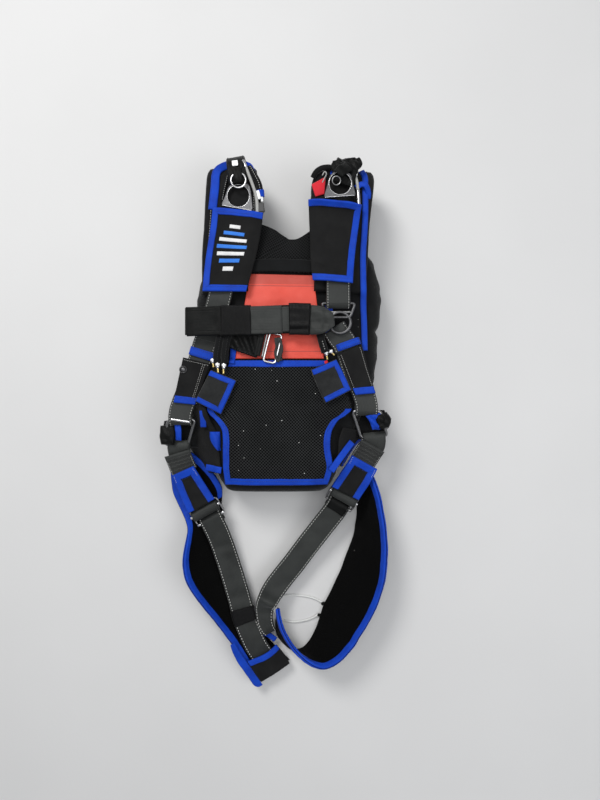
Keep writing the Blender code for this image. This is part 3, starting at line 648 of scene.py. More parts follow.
# ---------------------------------------------------------------- materials
class Shader:
    """Builds one node material."""

    def __init__(self, name, roughness, metallic=0.0, sheen=0.0, specular=0.4, coat=0.0):
        self.material = bpy.data.materials.new(name)
        self.material.use_nodes = True
        self.tree = self.material.node_tree
        self.bsdf = self.tree.nodes["Principled BSDF"]
        self.bsdf.inputs["Roughness"].default_value = roughness
        self.bsdf.inputs["Metallic"].default_value = metallic
        self.bsdf.inputs["Specular IOR Level"].default_value = specular
        self.bsdf.inputs["Sheen Weight"].default_value = sheen
        self.bsdf.inputs["Sheen Roughness"].default_value = 0.4
        self.bsdf.inputs["Coat Weight"].default_value = coat
        self.place = self.tree.nodes.new("ShaderNodeTexCoord")
        split = self.tree.nodes.new("ShaderNodeSeparateXYZ")
        self.tree.links.new(self.place.outputs["UV"], split.inputs[0])
        self.u = split.outputs["X"]
        self.v = split.outputs["Y"]

    def put(self, value, socket):
        if isinstance(value, (int, float)):
            socket.default_value = value
        elif isinstance(value, tuple):
            socket.default_value = value
        else:
            self.tree.links.new(value, socket)

    def math(self, kind, a, b=None, c=None):
        node = self.tree.nodes.new("ShaderNodeMath")
        node.operation = kind
        self.put(a, node.inputs[0])
        if b is not None:
            self.put(b, node.inputs[1])
        if c is not None:
            self.put(c, node.inputs[2])
        return node.outputs[0]

    def wave(self, value, pitch, shift=0.0):
        """Sine of a distance in metres, from 0 to 1."""
        turned = self.math("MULTIPLY_ADD", value, 2 * math.pi / pitch, shift)
        return self.math("MULTIPLY_ADD", self.math("SINE", turned), 0.5, 0.5)

    def noise(self, scale, detail=3.0, roughness=0.55, coordinates="Object"):
        node = self.tree.nodes.new("ShaderNodeTexNoise")
        node.inputs["Scale"].default_value = scale
        node.inputs["Detail"].default_value = detail
        node.inputs["Roughness"].default_value = roughness
        self.tree.links.new(self.place.outputs[coordinates], node.inputs["Vector"])
        return node.outputs["Fac"]

    def ramp(self, value, low, high, out_low=0.0, out_high=1.0):
        node = self.tree.nodes.new("ShaderNodeMapRange")
        node.inputs["From Min"].default_value = low
        node.inputs["From Max"].default_value = high
        node.inputs["To Min"].default_value = out_low
        node.inputs["To Max"].default_value = out_high
        self.put(value, node.inputs["Value"])
        return node.outputs["Result"]

    def mix(self, share, a, b):
        node = self.tree.nodes.new("ShaderNodeMix")
        node.data_type = "RGBA"
        self.put(share, node.inputs["Factor"])
        self.put(a, node.inputs["A"])
        self.put(b, node.inputs["B"])
        return node.outputs["Result"]

    def lint(self, scale, size, chance):
        """Sparse pale specks."""
        cell = self.tree.nodes.new("ShaderNodeTexVoronoi")
        cell.inputs["Scale"].default_value = scale
        self.tree.links.new(self.place.outputs["Object"], cell.inputs["Vector"])
        near = self.math("LESS_THAN", cell.outputs["Distance"], size)
        split = self.tree.nodes.new("ShaderNodeSeparateColor")
        self.tree.links.new(cell.outputs["Color"], split.inputs[0])
        chosen = self.math("LESS_THAN", split.outputs[0], chance)
        return self.math("MULTIPLY", near, chosen)

    def finish(self, colour, height=None, depth=0.0003, strength=0.6, roughness=None):
        self.put(colour, self.bsdf.inputs["Base Color"])
        if roughness is not None:
            self.put(roughness, self.bsdf.inputs["Roughness"])
        if height is not None:
            bump = self.tree.nodes.new("ShaderNodeBump")
            bump.inputs["Strength"].default_value = strength
            bump.inputs["Distance"].default_value = depth
            self.tree.links.new(height, bump.inputs["Height"])
            self.tree.links.new(bump.outputs["Normal"], self.bsdf.inputs["Normal"])
        return self.material


def woven(name, dark, light, pitch, depth=0.00025, roughness=0.85, sheen=0.12, fade=0.35, lint=0.0):
    """Plain-woven pack cloth: crossing threads, worn lighter in places."""
    s = Shader(name, roughness, sheen=sheen, specular=0.14)
    warp = s.wave(s.u, pitch)
    weft = s.wave(s.v, pitch)
    crossing = s.math("MULTIPLY", s.math("SUBTRACT", warp, 0.5), s.math("SUBTRACT", weft, 0.5))
    thread_high = s.math("MULTIPLY_ADD", crossing, 2.0, 0.5)
    worn = s.noise(28, 5, 0.6)
    fine = s.noise(900, 2, 0.7)
    share = s.math("MULTIPLY_ADD", thread_high, 0.5, s.math("MULTIPLY", fine, 0.35))
    share = s.math("ADD", share, s.ramp(worn, 0.35, 0.75, -fade, fade))
    colour = s.mix(s.ramp(share, 0.0, 1.0), dark, light)
    if lint:
        colour = s.mix(s.lint(170, 0.07, lint), colour, (0.5, 0.5, 0.48, 1))
    height = s.math("MULTIPLY_ADD", worn, 0.6, thread_high)
    return s.finish(colour, height, depth, 0.7, s.ramp(worn, 0.3, 0.8, roughness - 0.08, roughness + 0.06))


def spacer(name, dark, light, pitch, depth=0.0006, lint=0.02):
    """Knitted spacer mesh: staggered holes in diagonal rows."""
    s = Shader(name, 0.9, sheen=0.01, specular=0.08)
    p = s.math("ADD", s.u, s.v)
    q = s.math("SUBTRACT", s.u, s.v)
    a = s.math("SINE", s.math("MULTIPLY", p, 2 * math.pi / pitch))
    b = s.math("SINE", s.math("MULTIPLY", q, 2 * math.pi / pitch))
    net = s.math("ABSOLUTE", s.math("MULTIPLY", a, b))
    knit = s.ramp(net, 0.12, 0.55, 1.0, 0.0)
    broad = s.noise(16, 4, 0.6)
    fuzz = s.noise(1400, 2, 0.7)
    share = s.math("MULTIPLY", knit, s.ramp(broad, 0.3, 0.75, 0.55, 1.0))
    share = s.math("MULTIPLY", share, s.ramp(fuzz, 0.2, 0.8, 0.6, 1.1))
    colour = s.mix(share, dark, light)
    if lint:
        colour = s.mix(s.lint(105, 0.075, lint), colour, (0.62, 0.62, 0.6, 1))
    return s.finish(colour, s.math("MULTIPLY_ADD", broad, 0.5, knit), depth, 0.8)


def webbing_look(name, dark, light, pitch=0.0019, depth=0.0003, roughness=0.6, sheen=0.2, specular=0.25):
    """Nylon webbing: herringbone ribs that run across it, with a groove down each side whose colour is
    darkened as painted shade.
    """
    s = Shader(name, roughness, sheen=sheen, specular=specular)
    zig = s.math("ABSOLUTE", s.math("SUBTRACT", s.math("FRACT", s.math("DIVIDE", s.u, pitch * 2.4)), 0.5))
    ribs = s.wave(s.math("MULTIPLY_ADD", zig, pitch * 1.2, s.v), pitch)
    columns = s.wave(s.u, pitch * 1.2)
    cloth_high = s.math("MULTIPLY_ADD", ribs, 0.7, s.math("MULTIPLY", columns, 0.3))
    side = s.math("ABSOLUTE", s.u)
    groove = s.ramp(s.math("ABSOLUTE", s.math("SUBTRACT", side, 0.0155)), 0.0, 0.0012, 0.0, 1.0)
    worn = s.noise(22, 5, 0.62)
    share = s.math("MULTIPLY_ADD", cloth_high, 0.45, s.ramp(worn, 0.3, 0.75, 0.0, 0.55))
    # painted shade: the colour is a quarter darker along the groove down each side
    share = s.math("MULTIPLY", share, s.math("MULTIPLY_ADD", groove, 0.25, 0.75))
    colour = s.mix(share, dark, light)
    height = s.math("MULTIPLY_ADD", groove, 0.8, s.math("MULTIPLY_ADD", worn, 0.5, cloth_high))
    return s.finish(colour, height, depth, 0.75, s.ramp(worn, 0.3, 0.8, roughness - 0.1, roughness + 0.1))


def ribbed(name, dark, light, pitch=0.0013, depth=0.0002, roughness=0.55, sheen=0.25, specular=0.12):
    """Grosgrain tape: fine ribs across it."""
    s = Shader(name, roughness, sheen=sheen, specular=specular)
    ribs = s.wave(s.v, pitch)
    worn = s.noise(35, 4, 0.6)
    fine = s.noise(700, 2, 0.7)
    share = s.math("MULTIPLY_ADD", ribs, 0.35, s.math("MULTIPLY", fine, 0.25))
    share = s.math("ADD", share, s.ramp(worn, 0.3, 0.75, 0.0, 0.45))
    colour = s.mix(share, dark, light)
    return s.finish(colour, s.math("MULTIPLY_ADD", worn, 0.8, ribs), depth, 0.7,
                    s.ramp(worn, 0.3, 0.8, roughness - 0.08, roughness + 0.1))


def printed(name, base, darker, header):
    """Coated label cloth with a plain darker header band and a thin border; no lettering."""
    s = Shader(name, 0.5, sheen=0.05, specular=0.4)
    weave = s.math("MULTIPLY", s.wave(s.u, 0.0011), s.wave(s.v, 0.0011))
    worn = s.noise(30, 5, 0.6)
    colour = s.mix(s.ramp(worn, 0.3, 0.8, 0.0, 0.5), base, darker)
    band = s.math("MULTIPLY", s.math("GREATER_THAN", s.v, header - 0.0175),
                  s.math("LESS_THAN", s.v, header))
    colour = s.mix(s.math("MULTIPLY", band, 0.45), colour, (0.2, 0.03, 0.02, 1))
    rule = s.math("LESS_THAN", s.math("ABSOLUTE", s.math("SUBTRACT", s.v, header - 0.0205)), 0.0007)
    foot = s.math("LESS_THAN", s.math("ABSOLUTE", s.math("SUBTRACT", s.v, 0.012)), 0.0006)
    lines = s.math("MAXIMUM", rule, foot)
    colour = s.mix(s.math("MULTIPLY", lines, 0.6), colour, (0.12, 0.02, 0.02, 1))
    return s.finish(colour, s.math("MULTIPLY_ADD", worn, 1.2, weave), 0.0002, 0.5,
                    s.ramp(worn, 0.3, 0.8, 0.42, 0.6))


def metal(name, dark, light, roughness, scratch=0.5):
    """Plated or forged steel, scratched and brighter where it rubs."""
    s = Shader(name, roughness, metallic=1.0)
    stain = s.noise(60, 5, 0.65)
    fine = s.noise(520, 4, 0.7)
    worn = s.math("MULTIPLY_ADD", fine, scratch, s.math("MULTIPLY", stain, 1 - scratch))
    colour = s.mix(s.ramp(worn, 0.3, 0.7), dark, light)
    return s.finish(colour, fine, 0.00012, 0.4, s.ramp(worn, 0.25, 0.75, roughness + 0.14, roughness - 0.08))


def moulded(name, colour_a, colour_b, roughness=0.4):
    s = Shader(name, roughness, specular=0.5)
    stain = s.noise(90, 4, 0.6)
    grain = s.noise(2200, 2, 0.5)
    return s.finish(s.mix(s.ramp(stain, 0.3, 0.7), colour_a, colour_b), grain, 0.00006, 0.35,
                    s.ramp(stain, 0.3, 0.7, roughness - 0.08, roughness + 0.08))


def braided(name, dark, light, pitch=0.0022):
    """Braided elastic or cable sheath: two sets of threads winding both ways."""
    s = Shader(name, 0.65, sheen=0.15)
    one = s.wave(s.math("ADD", s.u, s.v), pitch)
    two = s.wave(s.math("SUBTRACT", s.u, s.v), pitch)
    both = s.math("MULTIPLY", one, two)
    dirt = s.noise(40, 4, 0.6)
    share = s.math("MULTIPLY", s.ramp(both, 0.0, 0.8, 0.35, 1.0), s.ramp(dirt, 0.3, 0.7, 0.75, 1.0))
    return s.finish(s.mix(share, dark, light), both, 0.0003, 0.7)


PACK = woven("pack_cloth", (0.0022, 0.0024, 0.0026, 1), (0.0085, 0.009, 0.0098, 1), 0.0011, lint=0.02)
FLAP = woven("flap_cloth", (0.0045, 0.0045, 0.0048, 1), (0.0145, 0.0145, 0.0145, 1), 0.0012, depth=0.0003,
             sheen=0.03, lint=0.01)
GREY_CLOTH = woven("handle_cloth", (0.009, 0.0095, 0.01, 1), (0.034, 0.0355, 0.036, 1), 0.0013,
                   depth=0.0003, lint=0.02)
SPACER = spacer("back_spacer", (0.0003, 0.0003, 0.0004, 1), (0.036, 0.038, 0.039, 1), 0.0108, lint=0.3)
FINE_SPACER = spacer("neck_spacer", (0.0003, 0.0003, 0.0003, 1), (0.024, 0.025, 0.026, 1), 0.0105,
                     depth=0.0004, lint=0.01)
LEG_MESH = spacer("leg_spacer", (0.0003, 0.0003, 0.0003, 1), (0.0026, 0.0026, 0.0027, 1), 0.0075,
                  depth=0.0003, lint=0.02)
WEB = webbing_look("harness_web", (0.0075, 0.0083, 0.008, 1), (0.038, 0.0415, 0.0395, 1), sheen=0.1)
DARK_WEB = webbing_look("black_web", (0.0012, 0.0013, 0.0013, 1), (0.0075, 0.008, 0.0078, 1), roughness=0.42,
                        sheen=0.02, specular=0.09)
BLUE_TAPE = ribbed("blue_grosgrain", (0.002, 0.02, 0.23, 1), (0.007, 0.064, 0.52, 1), sheen=0.04)
ELASTIC = ribbed("black_elastic", (0.0006, 0.0006, 0.0007, 1), (0.0036, 0.0036, 0.0039, 1), pitch=0.0021,
                 depth=0.0004, roughness=0.42, sheen=0.05)
LABEL = printed("red_label", (0.63, 0.056, 0.03, 1), (0.46, 0.034, 0.02, 1), 0.146)
RED_CLOTH = ribbed("red_tab_cloth", (0.42, 0.008, 0.018, 1), (0.68, 0.03, 0.045, 1), pitch=0.0016)
FORGED = metal("forged_steel", (0.055, 0.055, 0.058, 1), (0.16, 0.16, 0.165, 1), 0.42)
BRIGHT = metal("bright_steel", (0.42, 0.42, 0.43, 1), (0.78, 0.78, 0.79, 1), 0.24)
DULL = metal("plated_steel", (0.12, 0.12, 0.122, 1), (0.34, 0.34, 0.34, 1), 0.3)
BRASS = metal("brass", (0.45, 0.33, 0.1, 1), (0.75, 0.6, 0.25, 1), 0.3)
WHITE_PLASTIC = moulded("white_plastic", (0.72, 0.73, 0.74, 1), (0.85, 0.86, 0.86, 1))
BLACK_PLASTIC = moulded("black_plastic", (0.009, 0.009, 0.01, 1), (0.022, 0.022, 0.023, 1), 0.35)
CABLE = braided("cable_housing", (0.16, 0.16, 0.155, 1), (0.52, 0.52, 0.5, 1), 0.0018)
WHITE_ELASTIC = braided("white_elastic", (0.55, 0.56, 0.55, 1), (0.86, 0.87, 0.85, 1), 0.0016)
PALE_THREAD = braided("pale_thread", (0.42, 0.42, 0.4, 1), (0.72, 0.72, 0.69, 1), 0.0006)
GREY_THREAD = braided("grey_thread", (0.03, 0.03, 0.03, 1), (0.11, 0.11, 0.105, 1), 0.0006)
BLACK_THREAD = braided("black_thread", (0.004, 0.004, 0.004, 1), (0.02, 0.02, 0.02, 1), 0.0006)
BLUE_THREAD = braided("blue_thread", (0.003, 0.015, 0.12, 1), (0.01, 0.05, 0.3, 1), 0.0006)
EMBROIDERY = ribbed("white_embroidery", (0.5, 0.5, 0.5, 1), (0.82, 0.82, 0.82, 1), pitch=0.0008)
BLUE_EMBROIDERY = ribbed("blue_embroidery", (0.02, 0.1, 0.45, 1), (0.05, 0.25, 0.8, 1), pitch=0.0008)


def strap(name, path, width, look, replaced=(), thick=WEB_THICK, steps=2, names=None, under=REST,
          passes=12, free=(), tilt=0.0, amount=0.5, folds=(), seam="pale", lie=True):
    """A webbing strap that lies along a path; returns its grid."""
    grid = web_grid(path, width, steps, tilt)
    if lie:
        lay(grid, thick, names if names is not None else below(name), under=under, stiff=True,
            passes=passes, free=free)
    grid = refine([[row[0], row[0].lerp(row[-1], 0.5), row[-1]] for row in grid], 2.6)
    ripple(grid, amount, 34, seed=len(name) * 1.7)
    crease(grid, folds)
    thing = cloth(name + "_cloth", grid, thick, look, replaced)
    if seam:
        sew_edges(name + "-" + seam, grid, thick, faces=(1, -1))
    return grid


# ---------------------------------------------------------------- container
def make_container():
    """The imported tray: a tight cloth skin over the folded canopies, with a belt seam."""
    stations = ((-228, 80, 24), (-223, 90, 36), (-211, 98, 45), (-180, 112, 50), (-130, 130, 52),
                (-69, 155, 52), (0, 164, 52), (83, 166, 52), (125, 163, 52), (170, 152, 51),
                (194, 138, 47), (207, 122, 38), (212, 106, 25))
    line = curve_through(stations, 9)
    around = 132
    verts = []
    uvs = []
    belt = []
    for y, half, depth in line:
        middle = 0.067 * y - 6
        ring = []
        for k in range(around):
            angle = 2 * math.pi * (k + 0.5) / around
            flat = math.copysign(abs(math.cos(angle)) ** SQUARENESS, math.cos(angle))
            rise = math.copysign(abs(math.sin(angle)) ** SQUARENESS, math.sin(angle))
            x = middle + half * flat
            z = 50 + depth * rise
            if z > 1.0:
                out = Vector((math.cos(angle), 0, math.sin(angle)))
                q = Vector((x / 46, y / 40, z / 30))
                puff = 2.2 * noise.noise(q) + 1.0 * noise.noise(q * 2.6)
                side = abs(math.cos(angle)) ** 0.5
                belt_dip = -3.2 * math.exp(-((z - 52) / 4.5) ** 2) * side
                waist = -4.5 * math.exp(-((y - 57) / 5) ** 2) * side
                rib = -1.6 * math.exp(-((y + 95) / 4) ** 2) * side
                pull = 1.0 * math.sin(y / 5.5 + 2.5 * noise.noise(Vector((y / 40, z / 60, 1.0)))) \
                    * math.exp(-((abs(z - 52) - 13) / 9) ** 2) * side
                x += out.x * (puff * side + belt_dip + waist + rib + pull)
                z += out.z * min(0.4, puff * 0.3)
            z = max(0.0, z)
            ring.append(Vector((x, y, z)))
        run = 0.0
        for k, p in enumerate(ring):
            if k:
                run += (p - ring[k - 1]).length
            verts.append(p)
            uvs.append((run * MM, y * MM))
        belt.append((min(ring, key=lambda p: abs(p.z - 52) + (50 if p.x > middle else 0)),
                     min(ring, key=lambda p: abs(p.z - 52) + (50 if p.x < middle else 0))))
    faces = []
    count = len(line)
    for k in range(count - 1):
        for m in range(around):
            n = (m + 1) % around
            faces.append((k * around + m, k * around + n, (k + 1) * around + n, (k + 1) * around + m))
    for end, row in ((0, 0), (1, count - 1)):
        ring = [verts[row * around + m] for m in range(around)]
        middle = sum(ring, Vector((0, 0, 0))) / around
        previous = [row * around + m for m in range(around)]
        for share in (0.8, 0.5, 0.2):
            base = len(verts)
            for p in ring:
                q = middle.lerp(p, share)
                q.y += (-1.5 if end == 0 else 3.5) * math.sin((1 - share) * math.pi / 2)
                q.y += 0.8 * noise.noise(Vector((q.x / 25, q.z / 14, 4.0)))
                verts.append(q)
                uvs.append((q.x * MM, q.z * MM))
            now = [base + m for m in range(around)]
            for m in range(around):
                n = (m + 1) % around
                faces.append((previous[m], previous[n], now[n], now[m]))
            previous = now
        faces.append(tuple(previous))
    body = make_mesh("container_cloth", verts, faces, PACK, uvs, ("container",))
    route = [a for a, _ in belt] + [b for _, b in reversed(belt)]
    route = [p + Vector((0.6 if p.x > 0 else -0.6, 0, 0)) for p in route]
    tube("container_piping", route, 1.7, ELASTIC, around=10, closed=True, squash=1.25)


# ---------------------------------------------------------------- back
def make_back():
    left = [(-97, 2, 0), (-120, -40, 0), (-138, -80, 0), (-124, -99, 0), (-111, -118, 0),
            (-110, -150, 0), (-110, -182, 0), (-107, -211, 0)]
    right = [(66, 2, 0), (92, -40, 0), (110, -80, 0), (88, -99, 0), (75, -120, 0),
             (73, -150, 0), (77, -181, 0), (69, -211, 0)]
    grid = grid_between(left, right, 2, 6)
    lay(grid, 7.0, below("back_pad"), under=TAPE_WALL + TAPE_SLOT + REST)
    grid = refine(grid, 2.8)
    ripple(grid, 1.1, 42, seed=2.0)
    crease(grid, [(-60, -30, -20, -150, 26, 1.0), (20, -40, 50, -130, 22, 0.7),
                  (-105, -60, -70, -95, 9, -1.2)])
    pad = cloth("back_pad_foam", grid, 6.4, SPACER, ("back_pad",), puff=0.6)
    rows = len(grid)
    cols = len(grid[0])
    start = round(rows * 0.24)
    tape("back_pad_tape", grid, 6.4, BLUE_TAPE, (round(rows * 0.285), cols - 1),
         (start, 0), lip=10.5,
         replaced=("back_pad_binding",))
    tape("back_pad_tape_top", grid, 6.4, BLUE_TAPE, (0, 0), (0, cols - 1), lip=10.5)
    for s in (0.0, 1.0):
        t = 8.5 / 206 if s == 0.0 else 1 - 8.5 / 206
        sew_path("back_pad-blue", grid, 5.1, [(t, k / 16) for k in range(1, 16)], pitch=3.6, radius=0.35)
    for side in (9.0, -9.0):
        points = []
        ups = []
        normals = grid_normals(grid)
        for i in range(round(rows * 0.285) + 3, rows - 3):
            share = abs(side) / (grid[i][-1] - grid[i][0]).length
            point, up = on_grid(grid, normals, i / (rows - 1), share if side > 0 else 1 - share, 5.1)
            points.append(point)
            ups.append(up)
        sew("back_pad-blue", points, ups, pitch=3.6, radius=0.35)

    left = [(-90, 7, 0), (-80, 60, 0), (-72, 110, 0), (-65, 153, 0)]
    right = [(63, 7, 0), (56, 60, 0), (50, 110, 0), (45, 150, 0)]
    grid = grid_between(left, right, 2, 4)
    lay(grid, 1.2, below("label_panel"), under=1.5, reach=2)
    grid = refine(grid, 3.0)
    ripple(grid, 0.7, 30, seed=5.0)
    crease(grid, [(-60, 40, 40, 20, 7, 0.7), (-30, 130, 20, 90, 9, 0.6), (-50, 95, 30, 105, 6, -0.5)])
    label = cloth("label_cloth", grid, 1.2, LABEL, ("label_panel",))
    # the short piece of tape at the label's left
    side = web_grid([(-95, -2, 0), (-94, 12, 0), (-92, 30, 0), (-89, 44, 0)], 8.5, 3)
    lay(side, 1.4, below("wing_left"), under=1.2, reach=2, stiff=True, passes=8)
    cloth("label_side_tape", refine(side, 2.5), 1.6, BLUE_TAPE)


def make_yoke():
    lower = [(-64, 158, 102), (-38, 158, 104), (-10, 158, 104), (18, 156, 104), (44, 155, 102)]
    upper = [(-44, 238, 98), (-22, 229, 98), (1, 214, 96), (18, 214, 96), (37, 225, 98)]
    grid = grid_between(upper, lower, 2, 5)
    lay(grid, 5.0, below("yoke_pad"))
    grid = refine(grid, 2.6)
    ripple(grid, 0.8, 30, seed=1.3)
    crease(grid, [(1, 214, -57, 167, 2.4, -2.0), (10, 205, 30, 180, 12, 1.2), (-40, 215, -30, 180, 12, 1.0),
                  (-60, 178, 42, 177, 2.2, -1.3)])
    pad = cloth("yoke_foam", grid, 4.6, FINE_SPACER, ("yoke_pad",), puff=0.5)
    band = grid_between([(-62, 176, 0), (-30, 177.5, 0), (8, 177, 0), (40, 175, 0)],
                        [(-62, 156, 0), (-30, 157, 0), (8, 156, 0), (42, 155, 0)], 3, 3)
    lay(band, 1.6, below("wing_left"), under=1.0, reach=2, passes=20)
    band = refine(smooth_grid(band, 3), 2.8)
    ripple(band, 0.5, 24, seed=4.0)
    piece = cloth("yoke_band", band, 1.4, PACK)


def make_wings():
    inner = [(-146, -72, 84), (-131, -108, 86), (-124, -130, 86), (-120, -155, 84), (-117, -190, 78)]
    outer = [(-192, -74, 44), (-190, -115, 40), (-184, -140, 36), (-170, -166, 32), (-146, -198, 32)]
    grid = grid_between(outer, inner, 2, 3)
    lay(grid, 4.0, below("wing_left"))
    grid = refine(grid)
    ripple(grid, 1.3, 28, seed=3.0)
    crease(grid, [(-175, -105, -130, -150, 9, 1.6), (-160, -100, -128, -125, 7, -1.6)])
    wing = cloth("wing_left_cloth", grid, 3.4, FLAP, ("wing_left",), puff=0.5)
    # blue tapes that cross the left wing: one down the pad's side, one petal and one foot
    second = web_grid([(-148, -84, 98), (-147, -97, 96), (-147, -112, 92)], 9.0, 6)
    lay(second, 1.8, below("shoulder_pad_left"), under=0.8, reach=2, stiff=True, passes=6)
    cloth("wing_left_tape", refine(second, 2.5), 1.8, BLUE_TAPE)
    petal = grid_between([(-135, -121, 0), (-134, -134, 0), (-127, -146, 0), (-121, -153, 0)],
                         [(-118, -121, 0), (-117, -132, 0), (-117, -145, 0), (-117, -153, 0)], 3, 3)
    lay(petal, 1.8, below("shoulder_pad_left"), under=0.8, reach=2, passes=10)
    petal = refine(petal, 2.4)
    ripple(petal, 0.8, 12, seed=6.0)
    cloth("wing_left_petal", petal, 1.8, BLUE_TAPE)
    foot = web_grid([(-144, -184, 80), (-130, -186, 84), (-116, -188, 92)], 10.0, 5)
    lay(foot, 1.8, below("shoulder_pad_left"), under=0.8, reach=2, stiff=True, passes=8)
    cloth("wing_left_foot", refine(foot, 2.4), 1.8, BLUE_TAPE)

    inner = [(97, -114, 88), (93, -124, 88), (90, -137, 87), (89, -157, 84), (86, -176, 80)]
    outer = [(146, -124, 44), (135, -132, 44), (122, -144, 46), (109, -161, 52), (96, -182, 60)]
    grid = grid_between(inner, outer, 2, 3)
    lay(grid, 4.0, below("wing_right"), under=TAPE_WALL + TAPE_SLOT + REST)
    grid = refine(grid)
    ripple(grid, 1.2, 28, seed=9.0)
    wing = cloth("wing_right_cloth", grid, 3.4, FLAP, ("wing_right",), puff=0.5)
    rows = len(grid)
    cols = len(grid[0])
    tape("wing_right_tape", grid, 3.4, BLUE_TAPE, (0, cols - 1), (rows - 1, cols - 1), lip=8.0,
         replaced=("wing_right_binding",))
    # the tape that slants down beside the pad's lower corner
    slant = web_grid([(113, -139, 86), (103, -151, 90), (90, -168, 98), (76, -187, 104)], 10.0, 4)
    lay(slant, 2.0, below("shoulder_pad_left"), under=0.9, reach=3, stiff=True, passes=6)
    slant = refine(slant, 2.6)
    ripple(slant, 0.6, 18, seed=7.4)
    cloth("wing_right_slant", slant, 2.0, BLUE_TAPE)


# ---------------------------------------------------------------- shoulders
SHOULDERS = {
    "left": (
        [(-146, 122, 84), (-146, 180, 92), (-141, 235, 102), (-138, 290, 104), (-137, 325, 94),
         (-136, 342, 72), (-136, 338, 44), (-136, 315, 24), (-136, 275, 14), (-134, 228, 12)],
        [(-70, 125, 104), (-66, 180, 106), (-52, 235, 110), (-48, 290, 110), (-55, 325, 100),
         (-58, 342, 74), (-60, 338, 44), (-60, 315, 24), (-58, 275, 14), (-60, 228, 12)],
    ),
    "right": (
        [(49, 125, 104), (49, 180, 106), (42, 232, 110), (44, 285, 110), (52, 320, 100),
         (56, 338, 74), (58, 334, 44), (60, 312, 24), (60, 272, 14), (60, 228, 12)],
        [(132, 122, 88), (137, 180, 92), (139, 235, 102), (145, 290, 104), (148, 318, 94),
         (147, 336, 72), (146, 332, 44), (146, 312, 24), (145, 272, 14), (143, 228, 12)],
    ),
}


def make_shoulders():
    for side, (left, right) in SHOULDERS.items():
        grid = grid_between(left, right, 2, 4)
        lay(grid, 9.0, below("shoulder_pad_" + side), reach=5)
        grid = refine(grid, 3.4)
        ripple(grid, 1.1, 34, seed=2.5 if side == "left" else 6.5)
        pad = cloth("shoulder_foam_" + side, grid, 7.6, FLAP, ("shoulder_pad_" + side,),
                    puff=1.1)
        sew_edges("shoulder_" + side + "-pale" if side == "left" else "shoulder_right-black", grid, 10.2,
                  inset=9.0, s0=0.05, s1=0.6, faces=(1,), pitch=4.2)

    routes = {
        "left": ([(-66, 336, 92), (-72, 343, 86), (-88, 347, 84), (-106, 345, 88), (-122, 330, 96),
                  (-124, 300, 100), (-128, 262, 100)], 13.0),
        "right": ([(129, 334, 88), (134, 320, 96), (134, 298, 100), (134, 260, 100), (133, 225, 98),
                   (131, 190, 94), (131, 155, 90), (132, 108, 86), (134, 60, 84), (135, 22, 84)], 8.5),
    }
    for side, (route, width) in routes.items():
        name = "shoulder_binding_" + side
        grid = web_grid(route, 7.0, 3)
        lay(grid, 2.4, below(name), stiff=True)
        wide = [[a.lerp(b, 0.5) + (a - b).normalized() * width / 2,
                 a.lerp(b, 0.5) - (a - b).normalized() * width / 2]
                for a, b in grid]
        grid = refine(wide, 2.6)
        ripple(grid, 0.7, 22, seed=3.3)
        cloth("shoulder_tape_" + side, grid, 2.2, BLUE_TAPE, (name,), puff=0.2)
        sew_edges("shoulder_tape_" + side + "-blue", grid, 2.6, inset=1.4, sides=(1,), pitch=3.6, radius=0.3)
    # short ends of tape at the top of each shoulder
    for side, route in (("left", [(-74, 343, 100), (-66, 338, 106), (-60, 326, 110)]),
                        ("right", [(74, 338, 104), (78, 331, 110), (80, 322, 113)])):
        grid = web_grid(route, 10.0, 5)
        lay(grid, 2.0, ["shoulder_pad_" + side], stiff=True, under=0.8)
        cloth("shoulder_end_" + side, refine(grid, 2.4), 2.2, BLUE_TAPE)
    # the loose loop of tape beside the right ring
    route = [(118, 297, 118), (126, 302, 120), (134, 300, 120), (139, 290, 114), (139, 280, 108)]
    grid = refine(web_grid(route, 7.5, 5), 2.2)
    ripple(grid, 0.8, 10, seed=1.1)
    cloth("shoulder_loop_right", grid, 2.4, BLUE_TAPE, puff=0.3)


def make_risers():
    left = [(-83, 303, 122), (-85, 320, 124), (-88, 340, 119), (-90, 354, 102), (-90, 358, 76),
            (-90, 352, 46), (-90, 330, 17), (-90, 300, 4.5), (-90, 268, 3)]
    grid = web_grid(left, 29.0, 2)
    grid = refine([[r[0], r[0].lerp(r[1], 0.5), r[1]] for r in grid], 2.2)
    ripple(grid, 0.9, 20, seed=2.2)
    riser = cloth("riser_web_left", grid, 3.0, DARK_WEB, ("riser_left",), puff=0.3)
    sew_edges("riser_left-black", grid, 3.8, pitch=3.6)

    right = [(92, 303, 122), (98, 320, 124), (104, 338, 118), (106, 350, 102), (106, 354, 76),
             (106, 348, 46), (106, 326, 17), (106, 296, 4.5), (106, 264, 3)]
    grid = web_grid(right, 38.0, 2)
    grid = refine([[r[0], r[0].lerp(r[1], 0.5), r[1]] for r in grid], 2.2)
    ripple(grid, 2.4, 15, seed=8.2)
    crease(grid, [(88, 345, 122, 330, 4, 3.2), (84, 334, 118, 322, 3.5, -2.5), (95, 352, 104, 318, 4.5, 2.5)])
    riser = cloth("riser_web_right", grid, 3.0, DARK_WEB, ("riser_right",), puff=0.5)

    # locking loops: short black webs through the small rings
    for side, route, width in (
            ("left", [(-85, 326, 127.5), (-83.5, 317, 130), (-82.5, 309, 130), (-82, 302, 127)], 13.0),
            ("right", [(104, 330, 128), (98, 324, 134), (91, 319, 138), (86, 313, 138.5)], 16.0)):
        grid = refine(web_grid(route, width, 4), 1.8)
        ripple(grid, 0.7, 9, seed=4.0)
        cloth("riser_loop_" + side, grid, 2.6, DARK_WEB, puff=0.6)


